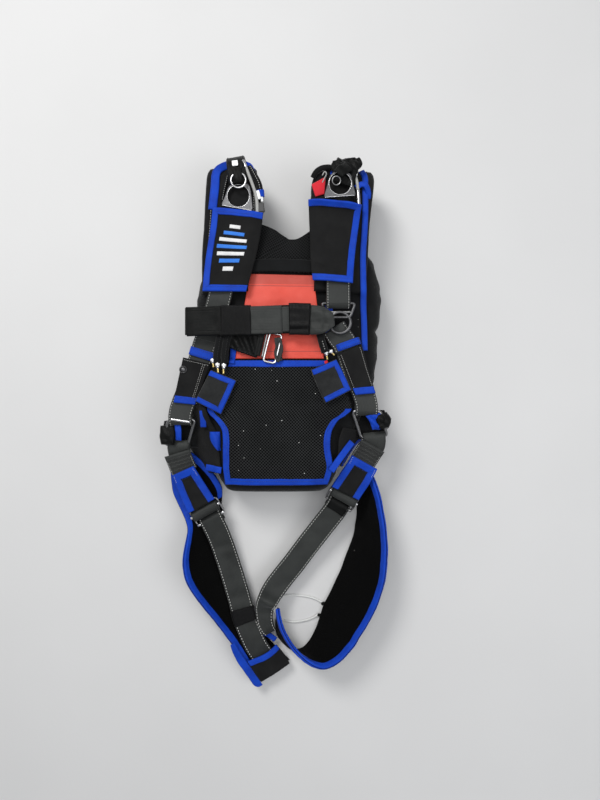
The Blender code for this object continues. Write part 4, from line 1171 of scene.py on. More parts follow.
def forged_plate(name, outline, hole, radius, level, thick, look, replaced):
    """A flat forged ring with a round eye and a flared base, chamfered all round."""
    loop = rounded_loop([(x, y, 0) for x, y in outline], 5.0, 8)
    centre = Vector((hole[0], hole[1], 0))
    count = 144
    verts = []
    half = thick / 2
    for k in range(count):
        angle = 2 * math.pi * k / count
        ray = Vector((math.cos(angle), math.sin(angle), 0))
        reach = radius + 2.5
        for a, b in zip(loop, loop[1:] + loop[:1]):
            edge = b - a
            cross = ray.x * edge.y - ray.y * edge.x
            if abs(cross) > 1e-9:
                gap = a - centre
                t = (gap.x * edge.y - gap.y * edge.x) / cross
                u = (gap.x * ray.y - gap.y * ray.x) / cross
                if t > 0 and -1e-6 <= u <= 1 + 1e-6:
                    reach = max(reach, t)
        for far, high in ((radius, 0.4), (radius + 0.35, 0.8), (radius + 1.1, 1.0), (reach - 1.3, 1.0),
                          (reach - 0.4, 0.75), (reach, 0.2), (reach, -0.2), (reach - 0.4, -0.75),
                          (reach - 1.3, -1.0), (radius + 1.1, -1.0), (radius + 0.35, -0.8), (radius, -0.4)):
            verts.append(Vector((hole[0], hole[1], level)) + ray * far + Vector((0, 0, high * half)))
    around = 12
    faces = []
    for k in range(count):
        a = k * around
        b = ((k + 1) % count) * around
        for m in range(around):
            n = (m + 1) % around
            faces.append((a + m, a + n, b + n, b + m))
    make_mesh(name, verts, faces, look, None, replaced, sharp=True)
    # painted highlight: a thin bright steel ring laid only along the top edge of the eye
    rim = [Vector((hole[0] + (radius + 0.6) * math.cos(2 * math.pi * k / 64),
                   hole[1] + (radius + 0.6) * math.sin(2 * math.pi * k / 64), level + half * 0.9))
           for k in range(64)]
    tube(name + "_highlight_rim", rim, 0.55, BRIGHT, closed=True, around=8)


def make_rings():
    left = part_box("harness_ring_left")
    level = (left[0].z + left[1].z) / 2 / MM
    forged_plate("base_ring_left",
                 [(-113, 266.5), (-58, 256.5), (-59.5, 281), (-63, 300), (-71, 306), (-93, 304.5),
                  (-101, 297), (-105.5, 283)], (-82.9, 282.2), 18.4, level, 6.0, FORGED,
                  ("harness_ring_left",))
    # painted highlight: a bright steel line along the top of the left plate's base edge
    edge = [Vector((-111, 266.6, level + 2.6)).lerp(Vector((-60, 257.2, level + 2.6)),
                                                    k / 20) for k in range(21)]
    tube("base_ring_left_highlight", edge, 0.8, BRIGHT, around=8)
    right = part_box("harness_ring_right")
    level = (right[0].z + right[1].z) / 2 / MM
    forged_plate("base_ring_right",
                 [(61.5, 275.5), (116.5, 279.5), (111.5, 299), (108.5, 315), (100, 320.5), (79, 320),
                  (71.5, 313), (67.5, 297)], (89.6, 299.6), 18.4, level, 6.0, FORGED, ("harness_ring_right",))
    # painted highlight: a bright steel line along the top of the right plate's base edge
    edge = [Vector((63.5, 276, level + 2.6)).lerp(Vector((114.5, 279.8, level + 2.6)),
                                                  k / 20) for k in range(21)]
    tube("base_ring_right_highlight", edge, 0.8, BRIGHT, around=8)
    for side, (x, y), radius in (("left", (-82, 306), 12.4), ("right", (83, 303), 6.8)):
        low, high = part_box("riser_ring_" + side)
        z = (low.z + high.z) / 2 / MM
        ring = [Vector((x + radius * math.cos(2 * math.pi * k / RING_STEPS),
                        y + radius * math.sin(2 * math.pi * k / RING_STEPS),
                        z + (1.5 * math.sin(2 * math.pi * k / RING_STEPS) if side == "right" else 0)))
                for k in range(RING_STEPS)]
        tube("small_ring_" + side, ring, 1.6 if side == "left" else 1.1,
             BRIGHT if side == "left" else DULL, ("riser_ring_" + side,), closed=True)

    # the webbing under each ring, wrapped round the hidden slot
    for side, a, b in (("left", (-104, 262), (-66, 255)), ("right", (70, 276), (110, 279))):
        grid = [[Vector((a[0], a[1] + 5 - 3 * k, 0)), Vector((b[0], b[1] + 5 - 3 * k, 0))] for k in range(9)]
        lay(grid, 3.0, ["shoulder_pad_" + side, "main_lift_web_" + side], stiff=True, under=0.6)
        cloth("ring_wrap_" + side, refine(grid, 2.4), 3.0, DARK_WEB)


def box_piece(name, centre, size, turn, look, bevel=0.6, lean=0.0):
    """A small bevelled block, turned about Z, for tabs and bars."""
    body = bmesh.new()
    bmesh.ops.create_cube(body, size=1.0)
    for v in body.verts:
        v.co = Vector((v.co.x * size[0], v.co.y * size[1], v.co.z * size[2]))
    bmesh.ops.bevel(body, geom=body.edges[:], offset=bevel, segments=3, affect="EDGES")
    verts = []
    for v in body.verts:
        p = v.co
        z = p.z + p.y * math.tan(lean)
        verts.append(Vector((centre[0] + p.x * math.cos(turn) - p.y * math.sin(turn),
                             centre[1] + p.x * math.sin(turn) + p.y * math.cos(turn), centre[2] + z)))
    faces = [tuple(v.index for v in f.verts) for f in body.faces]
    uvs = [(v.co.x * MM, v.co.y * MM) for v in body.verts]
    body.free()
    return make_mesh(name, verts, faces, look, uvs, sharp=True)


def make_shoulder_details():
    # left: cable housing down the ring's right side, white tabs, cover with a blue collar
    tube("cable_left", curve_through([(-74, 340, 119), (-70, 330, 121), (-62, 310, 120.5), (-54, 287, 120),
                                      (-51, 268, 120), (-51, 246, 120)], 8), 2.7, CABLE)
    tube("cable_left_tip", curve_through([(-75, 343, 118), (-72, 335, 120.5), (-70.5, 330.5, 121)], 5), 3.1,
         BRIGHT)
    box_piece("pin_tab_left", (-88, 335.5, 127.0), (10, 9, 1.6), 0.1, WHITE_PLASTIC)
    box_piece("cable_tab_left_a", (-48.4, 284, 120.5), (5, 15, 3.0), 0.25, WHITE_PLASTIC)
    box_piece("cable_tab_left_b", (-43.0, 279, 118.0), (3.4, 12, 3.0), 0.05, WHITE_PLASTIC)
    tube("cover_left", curve_through([(-66, 334, 114), (-58, 322, 117), (-49, 305, 117.5),
                                      (-45.5, 290, 117)], 7),
         5.2, PACK, squash=0.62)
    seam = curve_through([(-64, 335, 117.4), (-57, 322, 120.4), (-48.6, 305, 121), (-45.2, 291, 120.4)], 7)
    sew("cover_left-pale", seam, [Vector((0, 0, 1))] * len(seam), pitch=3.8)
    tube("cover_collar_left", curve_through([(-46, 293, 117.2), (-45.4, 287, 117), (-45.2, 281.5, 116.8)], 4),
         6.6, BLUE_TAPE, squash=0.66)
    box_piece("cover_block_left", (-47, 262.5, 117.6), (17, 17, 7.0), 0.15, BLACK_PLASTIC, 1.6)
    tube("riser_cord_left", curve_through([(-103, 318, 113), (-106, 305, 114), (-109, 292, 113),
                                           (-112, 276, 112)],
                                          6), 2.2, ELASTIC)
    seam = curve_through([(-102, 319, 115.6), (-105, 305, 116.6), (-108, 292, 115.6), (-111, 277, 114.6)], 6)
    sew("riser_cord_left-pale", seam, [Vector((0, 0, 1))] * len(seam), pitch=3.4, radius=0.35)

    # right: black housing loop at the top, tab and pale housing bar
    back = grid_between([(47, 320, 108), (43, 306, 108), (42, 290, 108)],
                        [(74, 334, 112), (72, 316, 112), (68, 294, 110)], 5, 10)
    ripple(back, 1.0, 18, seed=4.4)
    piece = cloth("cover_back_right", back, 3.0, PACK, puff=0.6)
    bunch = grid_between([(79, 341, 120), (75, 330, 122), (82, 319, 125)],
                         [(123, 350, 114), (127, 336, 120), (117, 323, 125)], 7, 20)
    ripple(bunch, 2.6, 12, seed=5.2)
    crease(bunch, [(84, 345, 112, 322, 4, 3.4), (96, 350, 90, 320, 3.5, -2.6), (112, 350, 120, 324, 3.5, 2.8),
                   (78, 331, 124, 336, 4.0, 1.8)])
    piece = cloth("riser_bunch_right", bunch, 3.2, DARK_WEB, puff=0.6)
    tube("cover_right", curve_through([(44, 316, 112), (49, 324, 116), (58, 330, 118), (70, 332, 118),
                                       (80, 330, 118)], 7), 4.6, PACK, squash=0.7)
    box_piece("cable_tab_right", (117, 322.5, 122.5), (6.4, 13, 3.0), -0.15, WHITE_PLASTIC)
    tube("cable_right", curve_through([(116, 318, 118), (119, 305, 121), (121, 285, 121.5),
                                       (122, 262, 121)], 7),
         2.5, CABLE)
    tube("cable_right_tip", curve_through([(120.5, 292, 121.6), (121.3, 278, 121.6),
                                           (121.8, 266, 121.3)], 5), 3.0,
         BRIGHT)
    tube("tab_loop", curve_through([(60, 306, 117), (64, 313, 119), (67, 320, 120), (64, 324, 119),
                                    (60, 318, 118)],
                                   5), 1.0, CABLE)


def make_red_tab():
    left = [(42.5, 303, 112), (49, 283, 112)]
    right = [(65, 315, 114), (63, 287, 114)]
    grid = grid_between(left, right, 2, 2)
    lay(grid, 3.0, below("red_tab"))
    grid = refine(grid, 1.8)
    ripple(grid, 0.8, 14, seed=2.0)
    tab = cloth("red_tab_cloth", grid, 2.6, RED_CLOTH, ("red_tab",), puff=0.4)


def make_mud_flaps():
    edges = {
        "left": ([(-125, 261, 112), (-130, 222, 112), (-138, 172, 110), (-143, 122, 108)],
                 [(-41, 252, 112), (-47, 212, 112), (-56, 172, 110), (-70, 121, 108)]),
        "right": ([(37, 273, 112), (39, 222, 112), (41, 173, 110), (44, 140, 108)],
                  [(125, 264, 112), (119, 222, 112), (113, 173, 110), (110, 134, 108)]),
    }
    for side, (left, right) in edges.items():
        name = "mud_flap_" + side
        grid = grid_between(left, right, 3, 5, crown=3)
        lay(grid, CLOTH_THICK, below(name), under=TAPE_WALL + 1.6 + REST, reach=13, passes=40)
        grid = refine(grid, 2.8)
        ripple(grid, 1.0, 36, seed=1.0 if side == "left" else 12.0, edges=0.6)
        if side == "left":
            crease(grid, [(-60, 225, -75, 135, 8, 1.3), (-120, 235, -100, 200, 8, -0.8)])
        else:
            crease(grid, [(50, 172, 92, 150, 4.5, 1.7), (60, 160, 105, 168, 5, -1.4),
                          (45, 240, 60, 200, 10, 1.2),
                          (100, 230, 112, 180, 6, -1.0)])
        rows = len(grid)
        cols = len(grid[0])
        flap = cloth(name + "_cloth", grid, CLOTH_THICK, FLAP, (name,))
        if side == "left":
            first, last = (rows - 1, cols - 1), (0, cols - 1)
        else:
            first, last = (0, 0), (rows - 1, 0)
        tape(name + "_tape", grid, CLOTH_THICK, BLUE_TAPE, first, last, lip=10.0,
             replaced=("mud_flap_binding_" + side,))
        for s in (9 / 136, 1 - 9 / 136):
            sew_path(name + "-blue", grid, 2.7, [(s, k / 14) for k in range(1, 14)], pitch=3.6, radius=0.32)
        if side == "left":
            emblem(grid)


def emblem(grid):
    """A plain embroidered motif: a stack of bars in two colours."""
    normals = grid_normals(grid)
    bars = 7
    for k in range(bars):
        s = 0.25 + 0.5 * k / (bars - 1)
        reach = 0.3 * math.sin(math.pi * (k + 0.9) / (bars + 0.8))
        rows = []
        for m in range(4):
            row = []
            for n in range(15):
                t = 0.485 + reach * (2 * n / 14 - 1)
                point, _ = on_grid(grid, normals, s + (m / 3 - 0.5) * 0.04, t, 1.35)
                row.append(point)
            rows.append(row)
        white = k % 2 == 0
        cloth(f"emblem_bar_{k}", rows, 0.9, EMBROIDERY if white else BLUE_EMBROIDERY)


# ---------------------------------------------------------------- lift webs and chest
def make_lift_webs():
    left = [(-84, 246, 114), (-93, 215, 114), (-104, 170, 112), (-117, 107, 110), (-132, 60, 104),
            (-145, 28, 98), (-160, -20, 94), (-177, -58, 93), (-186.5, -86, 94), (-187, -101, 94.2),
            (-187, -107.5, 88), (-187, -101, 81.8), (-187, -90, 81.8)]
    grid = strap("main_lift_web_left", left, 38.0, WEB, ("main_lift_web_left",), free=range(-8, 0),
                 folds=[(-135, 110, -100, 105, 5, 0.6)])
    for s in (0.31, 0.335, 0.36, 0.385):
        sew_path("main_lift_web_left-grey", grid, 1.8, [(s, 0.1), (s + 0.01, 0.9)], pitch=3.4)

    upper = [(88, 262, 114), (88, 215, 114), (87, 170, 116), (87, 130, 121), (87, 110, 123),
             (87, 99, 124.2), (87, 92.6, 118), (87, 99, 111.8), (87, 109, 109)]
    grid = strap("main_lift_web_right", upper, 38.0, WEB, ("main_lift_web_right",), passes=2,
                 free=range(-8, 0))
    for s in (0.62, 0.65):
        sew_path("main_lift_web_right-black", grid, 1.8, [(s, 0.1), (s, 0.9)], pitch=3.4)

    lower = [(100, 34, 106), (106, 12, 106), (116, -20, 104), (130, -50, 104), (136.5, -71, 106),
             (137, -84, 106.2), (137, -90.4, 100), (137, -84, 93.8), (136, -74, 93.8)]
    grid = strap("lower_lift_web_right", lower, 36.0, WEB, ("lower_lift_web_right",), free=range(-8, 0))
    # the same web seen above the pocket, running up behind the chest ring
    upper_part = [(80, 58, 112), (88, 46, 112), (97, 34, 110), (102, 24, 109)]
    strap("lower_lift_web_right_top", upper_part, 40.0, WEB, (), names=ORDER[:ORDER.index("riser_left")],
          under=1.5, seam="pale", steps=3, folds=[(75, 55, 110, 45, 5, 1.4)])


def make_chest():
    level = 118.0
    # ring: a round eye under a wide slot, forged in one
    eye = [Vector((90 + 18 * math.cos(2 * math.pi * k / 64), 67 + 18 * math.sin(2 * math.pi * k / 64), level))
           for k in range(64)]
    tube("chest_ring_eye", eye, 2.7, FORGED, ("chest_ring",), closed=True, squash=0.9)
    corners = [(58, 100, level), (116, 100, level), (107.5, 76, level), (72, 76, level)]
    slot_loop = rounded_loop([Vector(c) for c in corners], 6, 8)
    tube("chest_ring_slot", slot_loop, 2.3, FORGED, closed=True)
    bar = [Vector((64 + 46 * k / 12, 85, level)) for k in range(13)]
    tube("chest_ring_bar", bar, 2.2, DULL)
    # blue tape seen through the ring
    grid = web_grid([(70, 98, 112), (74, 84, 112), (72, 66, 111), (70, 48, 110)], 9.0, 5)
    lay(grid, 1.8, below("main_lift_web_left"), stiff=True, under=2.0)
    grid = refine(grid, 2.4)
    ripple(grid, 0.8, 14, seed=2.2)
    cloth("chest_tape", grid, 1.8, BLUE_TAPE)

    tail = [(-112, 56, 112), (-94, 48, 113), (-75, 39, 113), (-46, 29, 113)]
    grid = strap("chest_tail", tail, 43.7, DARK_WEB, ("chest_tail",), thick=2.4, amount=1.0, seam="black",
                 folds=[(-112, 70, -80, 20, 5, 3.2), (-96, 66, -92, 30, 4.5, -2.4),
                        (-80, 55, -60, 10, 4, 2.2),
                        (-66, 55, -56, 8, 3.5, -1.8)])
    low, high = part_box("chest_adapter")
    z = (low.z + high.z) / 2 / MM
    frame_loop = rounded_loop([Vector((-41, 2, z)), Vector((-21, -2.5, z)), Vector((-9, 46, z)),
                               Vector((-29, 50, z))], 5, 8)
    tube("chest_buckle", frame_loop, 1.9, BRIGHT, ("chest_adapter",), closed=True)
    middle = [Vector((-34, 49, z + 1.5)).lerp(Vector((-43, 8, z + 1.5)), k / 16) for k in range(17)]
    tube("chest_buckle_bar", middle, 1.7, DULL)
    loop = rounded_loop([Vector((-13, 43, z + 2.2)), Vector((-8, 22, z + 2)), Vector((-15, -2, z + 2)),
                         Vector((-21, 14, z + 2))], 7, 8)
    tube("chest_tail_loop", loop, 2.3, WEB, closed=True, squash=0.6)
    box_piece("chest_tail_strip", (-15, 22, z - 0.5), (9.5, 40, 1.8), 0.12, WEB)
    box_piece("chest_web_turn", (-47, 30, z + 1.2), (11, 40, 2.6), -0.22, DARK_WEB, 1.0)

    # the strap itself and the layers folded and kept on it
    path = [(-170, 68, 118), (-130, 69, 120), (-108, 69.5, 122), (-84, 70, 122), (-55, 70, 122),
            (-25, 71, 122), (0, 72, 122), (20, 72, 122), (38, 71, 122), (62, 70, 122)]
    base = web_grid(path, 46.0, 1)
    lay(base, WEB_THICK, below("chest_strap"), under=3.0, stiff=True, passes=30)
    base = refine([[r[0], r[0].lerp(r[1], 0.5), r[1]] for r in base], 2.8)
    ripple(base, 0.5, 30, seed=3.0)
    thing = cloth("chest_strap_web", base, WEB_THICK, DARK_WEB, ("chest_strap",))
    normals = grid_normals(base)

    def layer(name, s0, s1, half_wide, high, look, slot_name, thick, bend=0.0, amount=0.6, replaced=(),
              folds=(), slant=0.0):
        rows = max(6, round((s1 - s0) * 232 / 2.6))
        grid = []
        for i in range(rows + 1):
            row = []
            for j in range(19):
                t = j / 18
                share = s0 + (s1 - s0) * i / rows + slant * (t - 0.5)
                point, up = on_grid(base, normals, share, 0.5 + (t - 0.5) * 0.999, high)
                mid, _ = on_grid(base, normals, share, 0.5, high)
                off = (point - mid) * (half_wide * 2 / 46.0)
                row.append(mid + off + up * bend * math.sin(math.pi * t))
            grid.append(row)
        ripple(grid, amount, 22, seed=len(name) * 1.3)
        crease(grid, folds)
        return grid, cloth(name, grid, thick, look, replaced)

    layer("chest_fold_left", -0.0, 0.2, 23.6, 3.4, DARK_WEB, "webbing", 3.0, amount=0.8,
          folds=[(-158, 50, -158, 92, 6, 0.9), (-128, 50, -122, 92, 5, -0.9)])
    turn = [Vector((-170.5, 45.5 + 46 * k / 20, 0)) for k in range(21)]
    point, _ = on_grid(base, normals, 0.0, 0.5, 1.7)
    for p in turn:
        p.z = point.z
    tube("chest_fold_edge", turn, 3.2, DARK_WEB, squash=1.0)
    layer("chest_elastic_left", 0.205, 0.42, 24.6, 4.6, ELASTIC, "black_cloth", 2.2, bend=0.5,
          replaced=("chest_keeper_left",), folds=[(-116, 48, -114, 92, 3, -0.8)])
    grid, _ = layer("chest_web_middle", 0.38, 0.625, 22.6, 3.2, WEB, "webbing", 2.6, amount=0.8,
                    folds=[(-80, 70, -25, 74, 6, -0.6), (-60, 90, -30, 50, 7, 0.7)])
    sew_path("chest_web_middle-black", grid, 1.6, [(0.965, 0.05), (0.965, 0.95)], pitch=3.2)
    grid, _ = layer("chest_web_narrow", 0.6, 0.74, 20.5, 2.2, WEB, "webbing", 1.8, amount=0.4)
    layer("chest_elastic_right", 0.69, 0.89, 25.8, 5.6, ELASTIC, "black_cloth", 3.0, bend=1.6,
          replaced=("chest_keeper_right",),
          folds=[(-10, 60, 36, 61, 3.4, 2.2), (-10, 54, 36, 55, 3.0, -1.6), (-8, 90, 36, 88, 4, 1.4)])
    # the web that slants on to the ring and turns round it
    wrap = grid_between([(38, 95, 126), (52, 93, 129), (66, 89, 130.5), (77, 80, 129)],
                        [(38, 47, 126), (50, 47, 129), (65, 50, 130.5), (80, 61, 129)], 6, 18)
    ripple(wrap, 1.3, 15, seed=6.0)
    crease(wrap, [(42, 86, 80, 78, 5, 1.8), (42, 66, 80, 62, 5, -1.6), (44, 52, 70, 52, 4, 1.2),
                  (66, 90, 62, 50, 3.5, -1.4)])
    thing = cloth("chest_web_turned", wrap, 3.2, WEB, puff=0.4)


# ---------------------------------------------------------------- pockets and handles
def bolster(name, a, b, width, level_names, look=None, under=1.0, thick=2.2, seams="black"):
    """A short wide band laid across a web."""
    start = Vector((a[0], a[1], 0))
    end = Vector((b[0], b[1], 0))
    grid = web_grid([start, start.lerp(end, 0.33), start.lerp(end, 0.66), end], width, 3)
    lay(grid, thick, level_names, under=under, reach=5, stiff=True, passes=14)
    grid = refine([[r[0], r[0].lerp(r[1], 0.5), r[1]] for r in grid], 2.2)
    ripple(grid, 0.6, 18, seed=len(name))
    cloth(name, grid, thick, look or BLUE_TAPE, puff=0.2)
    sew_edges(name + "-" + seams, grid, thick + 0.6, inset=2.0, pitch=3.4)
    return grid


def make_pockets():
    edges = {
        "left": ([(-180, 8, 90), (-189, -30, 90), (-197, -68, 80)],
                 [(-134, -3, 96), (-147, -38, 92), (-160, -72, 84)]),
        "right": ([(88, 14, 96), (103, -22, 92), (117, -55, 84)],
                  [(127, 30, 90), (139, -12, 90), (151, -52, 80)]),
    }
    for side, (left, right) in edges.items():
        name = "pocket_" + side
        grid = grid_between(left, right, 3, 4, crown=2)
        lay(grid, CLOTH_THICK, below(name), under=TAPE_WALL + TAPE_SLOT + REST, reach=13)
        grid = refine(grid, 2.6)
        ripple(grid, 0.7, 26, seed=4.0 if side == "left" else 9.0)
        crease(grid, [(-180, -10, -165, -60, 8, 0.8)] if side == "left" else [(115, 10, 130, -45, 8, 0.8)])
        rows = len(grid)
        cols = len(grid[0])
        piece = cloth(name + "_cloth", grid, CLOTH_THICK, FLAP, (name,), puff=0.3)
        tape(name + "_tape", grid, CLOTH_THICK, BLUE_TAPE, (rows - 1, cols - 1), (rows - 1, 0),
             lip=11.0, replaced=("pocket_binding_" + side,), lump=0.5)
        where = name + "-pale"
        if side == "left":
            sew_path(where, grid, 1.5, [(0.06, 0.03), (0.06, 0.97)], pitch=3.2, radius=0.3)
            sew_path(where, grid, 1.5, [(0.06, 0.76), (0.5, 0.77), (0.84, 0.78)], pitch=3.2, radius=0.3)
            sew_path(where, grid, 1.5, [(0.06, 0.82), (0.5, 0.83), (0.84, 0.84)], pitch=3.2, radius=0.3)
            point, _ = on_grid(grid, grid_normals(grid), 0.28, 0.12, 2.0)
            ring = [point + Vector((5.6 * math.cos(2 * math.pi * k / SNAP_STEPS),
                                    5.6 * math.sin(2 * math.pi * k / SNAP_STEPS), 0))
                    for k in range(SNAP_STEPS)]
            tube("snap_rim", ring, 1.1, BLACK_PLASTIC, closed=True)
            disc = [point + Vector((0, 0, -1.2)), point + Vector((0, 0, 0.2)), point + Vector((0, 0, 0.9))]
            tube("snap_cap", disc, 4.0, FORGED, around=28, taper=lambda t: 1.0 if t < 0.6 else 0.82)
        else:
            sew_path(where, grid, 1.5, [(0.05, 0.9), (0.5, 0.91), (0.86, 0.93)], pitch=3.2, radius=0.3)
            sew_path(where, grid, 1.5, [(0.05, 0.1), (0.5, 0.09), (0.86, 0.07)], pitch=3.2, radius=0.3)
    names = ORDER[:ORDER.index("handle_left")]
    bolster("pocket_band_left", (-168, 21), (-124, 7.5), 13.0, names, under=1.6)
    bolster("pocket_band_right", (81, 22), (126, 38), 10.5, names, under=1.6)


def make_handles():
    edges = {
        "left": ([(-130, -16, 108), (-143, -41, 108), (-156, -66, 106)],
                 [(-89, -33, 110), (-101, -60, 110), (-114, -87, 108)]),
        "right": ([(43, -15, 110), (54, -42, 110), (66, -68, 108)],
                  [(83, 2, 110), (96, -23, 110), (107, -47, 106)]),
    }
    for side, (left, right) in edges.items():
        name = "handle_" + side
        grid = grid_between(left, right, 3, 3, crown=2.5)
        lay(grid, 6.0, below(name), under=TAPE_WALL + TAPE_SLOT + 2 * REST, reach=7)
        grid = refine(grid, 2.4)
        ripple(grid, 0.6, 22, seed=7.0)
        rows = len(grid)
        face = cloth(name + "_face", grid, 5.2, GREY_CLOTH, (name,), puff=1.0)
        tape(name + "_tape", grid, 6.2, BLUE_TAPE, (0, 0), (rows - 1, 0), lip=8.0, gap=0.35,
             replaced=("handle_binding_" + side,), lump=0.4)
        inset = 6.6 / 44
        corners = [(inset, inset), (inset, 1 - inset), (1 - inset, 1 - inset), (1 - inset, inset)]
        sew_path(name + "-blue", grid, 4.6, corners, pitch=3.2, radius=0.3)


def make_housings():
    """Soft housings and their ferrules below the chest strap."""
    for k, (x, shift) in enumerate(((-119, 0), (-106, 1.5))):
        path = curve_through([(x + 6, 52, 112), (x + 3, 36, 117), (x, 16, 120), (x - 2 + shift, -2, 119)], 8)
        tube(f"housing_left_{k}", path, 6.4, PACK, squash=0.8)
    tips = (((-127, 6, 120), (-125.5, -8, 119.5)), ((-118.5, -1, 121), (-117.5, -17, 120)),
            ((-107, -2, 121), (-108.5, -19, 120)))
    for k, (a, b) in enumerate(tips):
        ferrule(f"ferrule_left_{k}", Vector(a), Vector(b), 3.4)
    path = curve_through([(52, 62, 112), (56, 48, 117), (60, 32, 119), (65, 16, 118)], 8)
    tube("housing_right", path, 6.6, PACK, squash=0.8)
    tips = (((66, 19, 119.5), (68.5, 5, 118.5)), ((73, 20, 118.5), (80, 12, 117.5)))
    for k, (a, b) in enumerate(tips):
        ferrule(f"ferrule_right_{k}", Vector(a), Vector(b), 3.2)
    band = curve_through([(59.5, 36, 123.8), (62, 28, 124), (64.5, 20, 123.4)], 6)
    sew("housing_right-pale", band, [Vector((0, 0, 1))] * len(band), pitch=4)
    for k, x in enumerate((-117, -104)):
        band = curve_through([(x + 5, 48, 119), (x + 3, 36, 122.6), (x, 16, 125.4), (x - 1.5, 2, 124.6)], 6)
        sew("housing_left-black", band, [Vector((0, 0, 1))] * len(band), pitch=4)
    box_piece("label_corner_pin", (67, 0, 113), (6, 5, 2), 0.4, RED_CLOTH)


def ferrule(name, start, end, radius):
    """Crimped end of a cable housing with the cable's narrower tip."""
    line = [start.lerp(end, k / 14) for k in range(15)]

    def profile(t):
        if t < 0.08:
            return 0.85
        if t < 0.55:
            return 1.0 - 0.1 * math.exp(-((t - 0.3) / 0.05) ** 2)
        if t < 0.62:
            return 0.72
        return 0.5

    tube(name, line, radius, BRIGHT, around=20, taper=profile)
    tip = [start.lerp(end, 0.62 + 0.48 * k / 6) for k in range(7)]
    tube(name + "_tip", tip, radius * 0.56, BRASS, around=14)
    tube(name + "_collar", [start.lerp(end, 0.1), start.lerp(end, 0.22), start.lerp(end, 0.34)], radius * 1.1,
         WHITE_PLASTIC, around=20)


# ---------------------------------------------------------------- hips and legs
def make_hips():
    corners = {
        "left": [(-210, -101, 88), (-162, -99, 88), (-178, -146, 70), (-218, -145, 70)],
        "right": [(113, -84, 100), (161, -84, 100), (176, -128, 80), (130, -132, 80)],
    }
    for side, points in corners.items():
        loop = rounded_loop([Vector(p) for p in points], 8, 10)
        tube("hip_link_" + side, loop, 3.0, DULL, ("hip_ring_" + side,), closed=True, around=16)
    bar = [Vector((-203, -98.5, 96.8)).lerp(Vector((-170, -103.5, 96.2)), k / 16) for k in range(17)]
    tube("hip_bar_left", bar, 2.3, BRIGHT, squash=0.7)
    # the lateral's dark cloth behind each link
    back = grid_between([(-222, -104, 58), (-224, -122, 56), (-214, -146, 54)],
                        [(-150, -90, 60), (-150, -118, 58), (-160, -150, 56)], 6, 18)
    ripple(back, 2.2, 22, seed=4.0)
    piece = cloth("lateral_cloth_left", back, 3.0, PACK, puff=0.8)
    back = grid_between([(104, -84, 74), (108, -104, 72), (122, -134, 66)],
                        [(172, -84, 68), (180, -104, 66), (172, -134, 62)], 6, 16)
    ripple(back, 2.4, 22, seed=7.0)
    piece = cloth("lateral_cloth_right", back, 3.0, PACK, puff=0.8)
    # lateral webs with their soft ends, and the crumpled blue tape beside each link
    grid = grid_between([(-222, -113, 81), (-223, -127, 83), (-221, -141, 81)],
                        [(-201, -112, 84), (-200, -127, 85.5), (-202, -142, 83)], 6, 12)
    ripple(grid, 1.2, 16, seed=2.0)
    crease(grid, [(-220, -118, -203, -136, 3.5, 1.8), (-221, -134, -202, -130, 3, -1.4)])
    thing = cloth("lateral_left", grid, 7.0, DARK_WEB, puff=1.2)
    grid = refine(web_grid([(-194, -107, 84), (-192, -120, 86), (-193, -136, 80)], 9.0, 6), 1.8)
    ripple(grid, 1.2, 9, seed=3.0)
    cloth("lateral_tape_left", grid, 2.4, BLUE_TAPE, puff=0.3)
    grid = grid_between([(156, -93, 100), (156, -101, 101), (160, -112, 99)],
                        [(172, -89, 96), (178, -99, 97), (175, -111, 95)], 6, 12)
    ripple(grid, 1.6, 12, seed=5.0)
    crease(grid, [(158, -94, 176, -106, 3.5, 2.0), (160, -110, 172, -92, 3, -1.6)])
    thing = cloth("lateral_right", grid, 7.5, DARK_WEB, puff=1.2)
    grid = grid_between([(137, -93, 101), (144, -104, 100), (148, -116, 96)],
                        [(160, -88, 98), (165, -101, 97), (160, -116, 93)], 6, 9)
    ripple(grid, 2.2, 9, seed=6.0)
    crease(grid, [(140, -96, 160, -112, 3.0, 3.0), (146, -90, 158, -108, 2.6, -2.2)])
    for row in grid:
        for p in row:
            p.z += 3.0
    cloth("lateral_tape_right", grid, 2.4, BLUE_TAPE, puff=0.5)


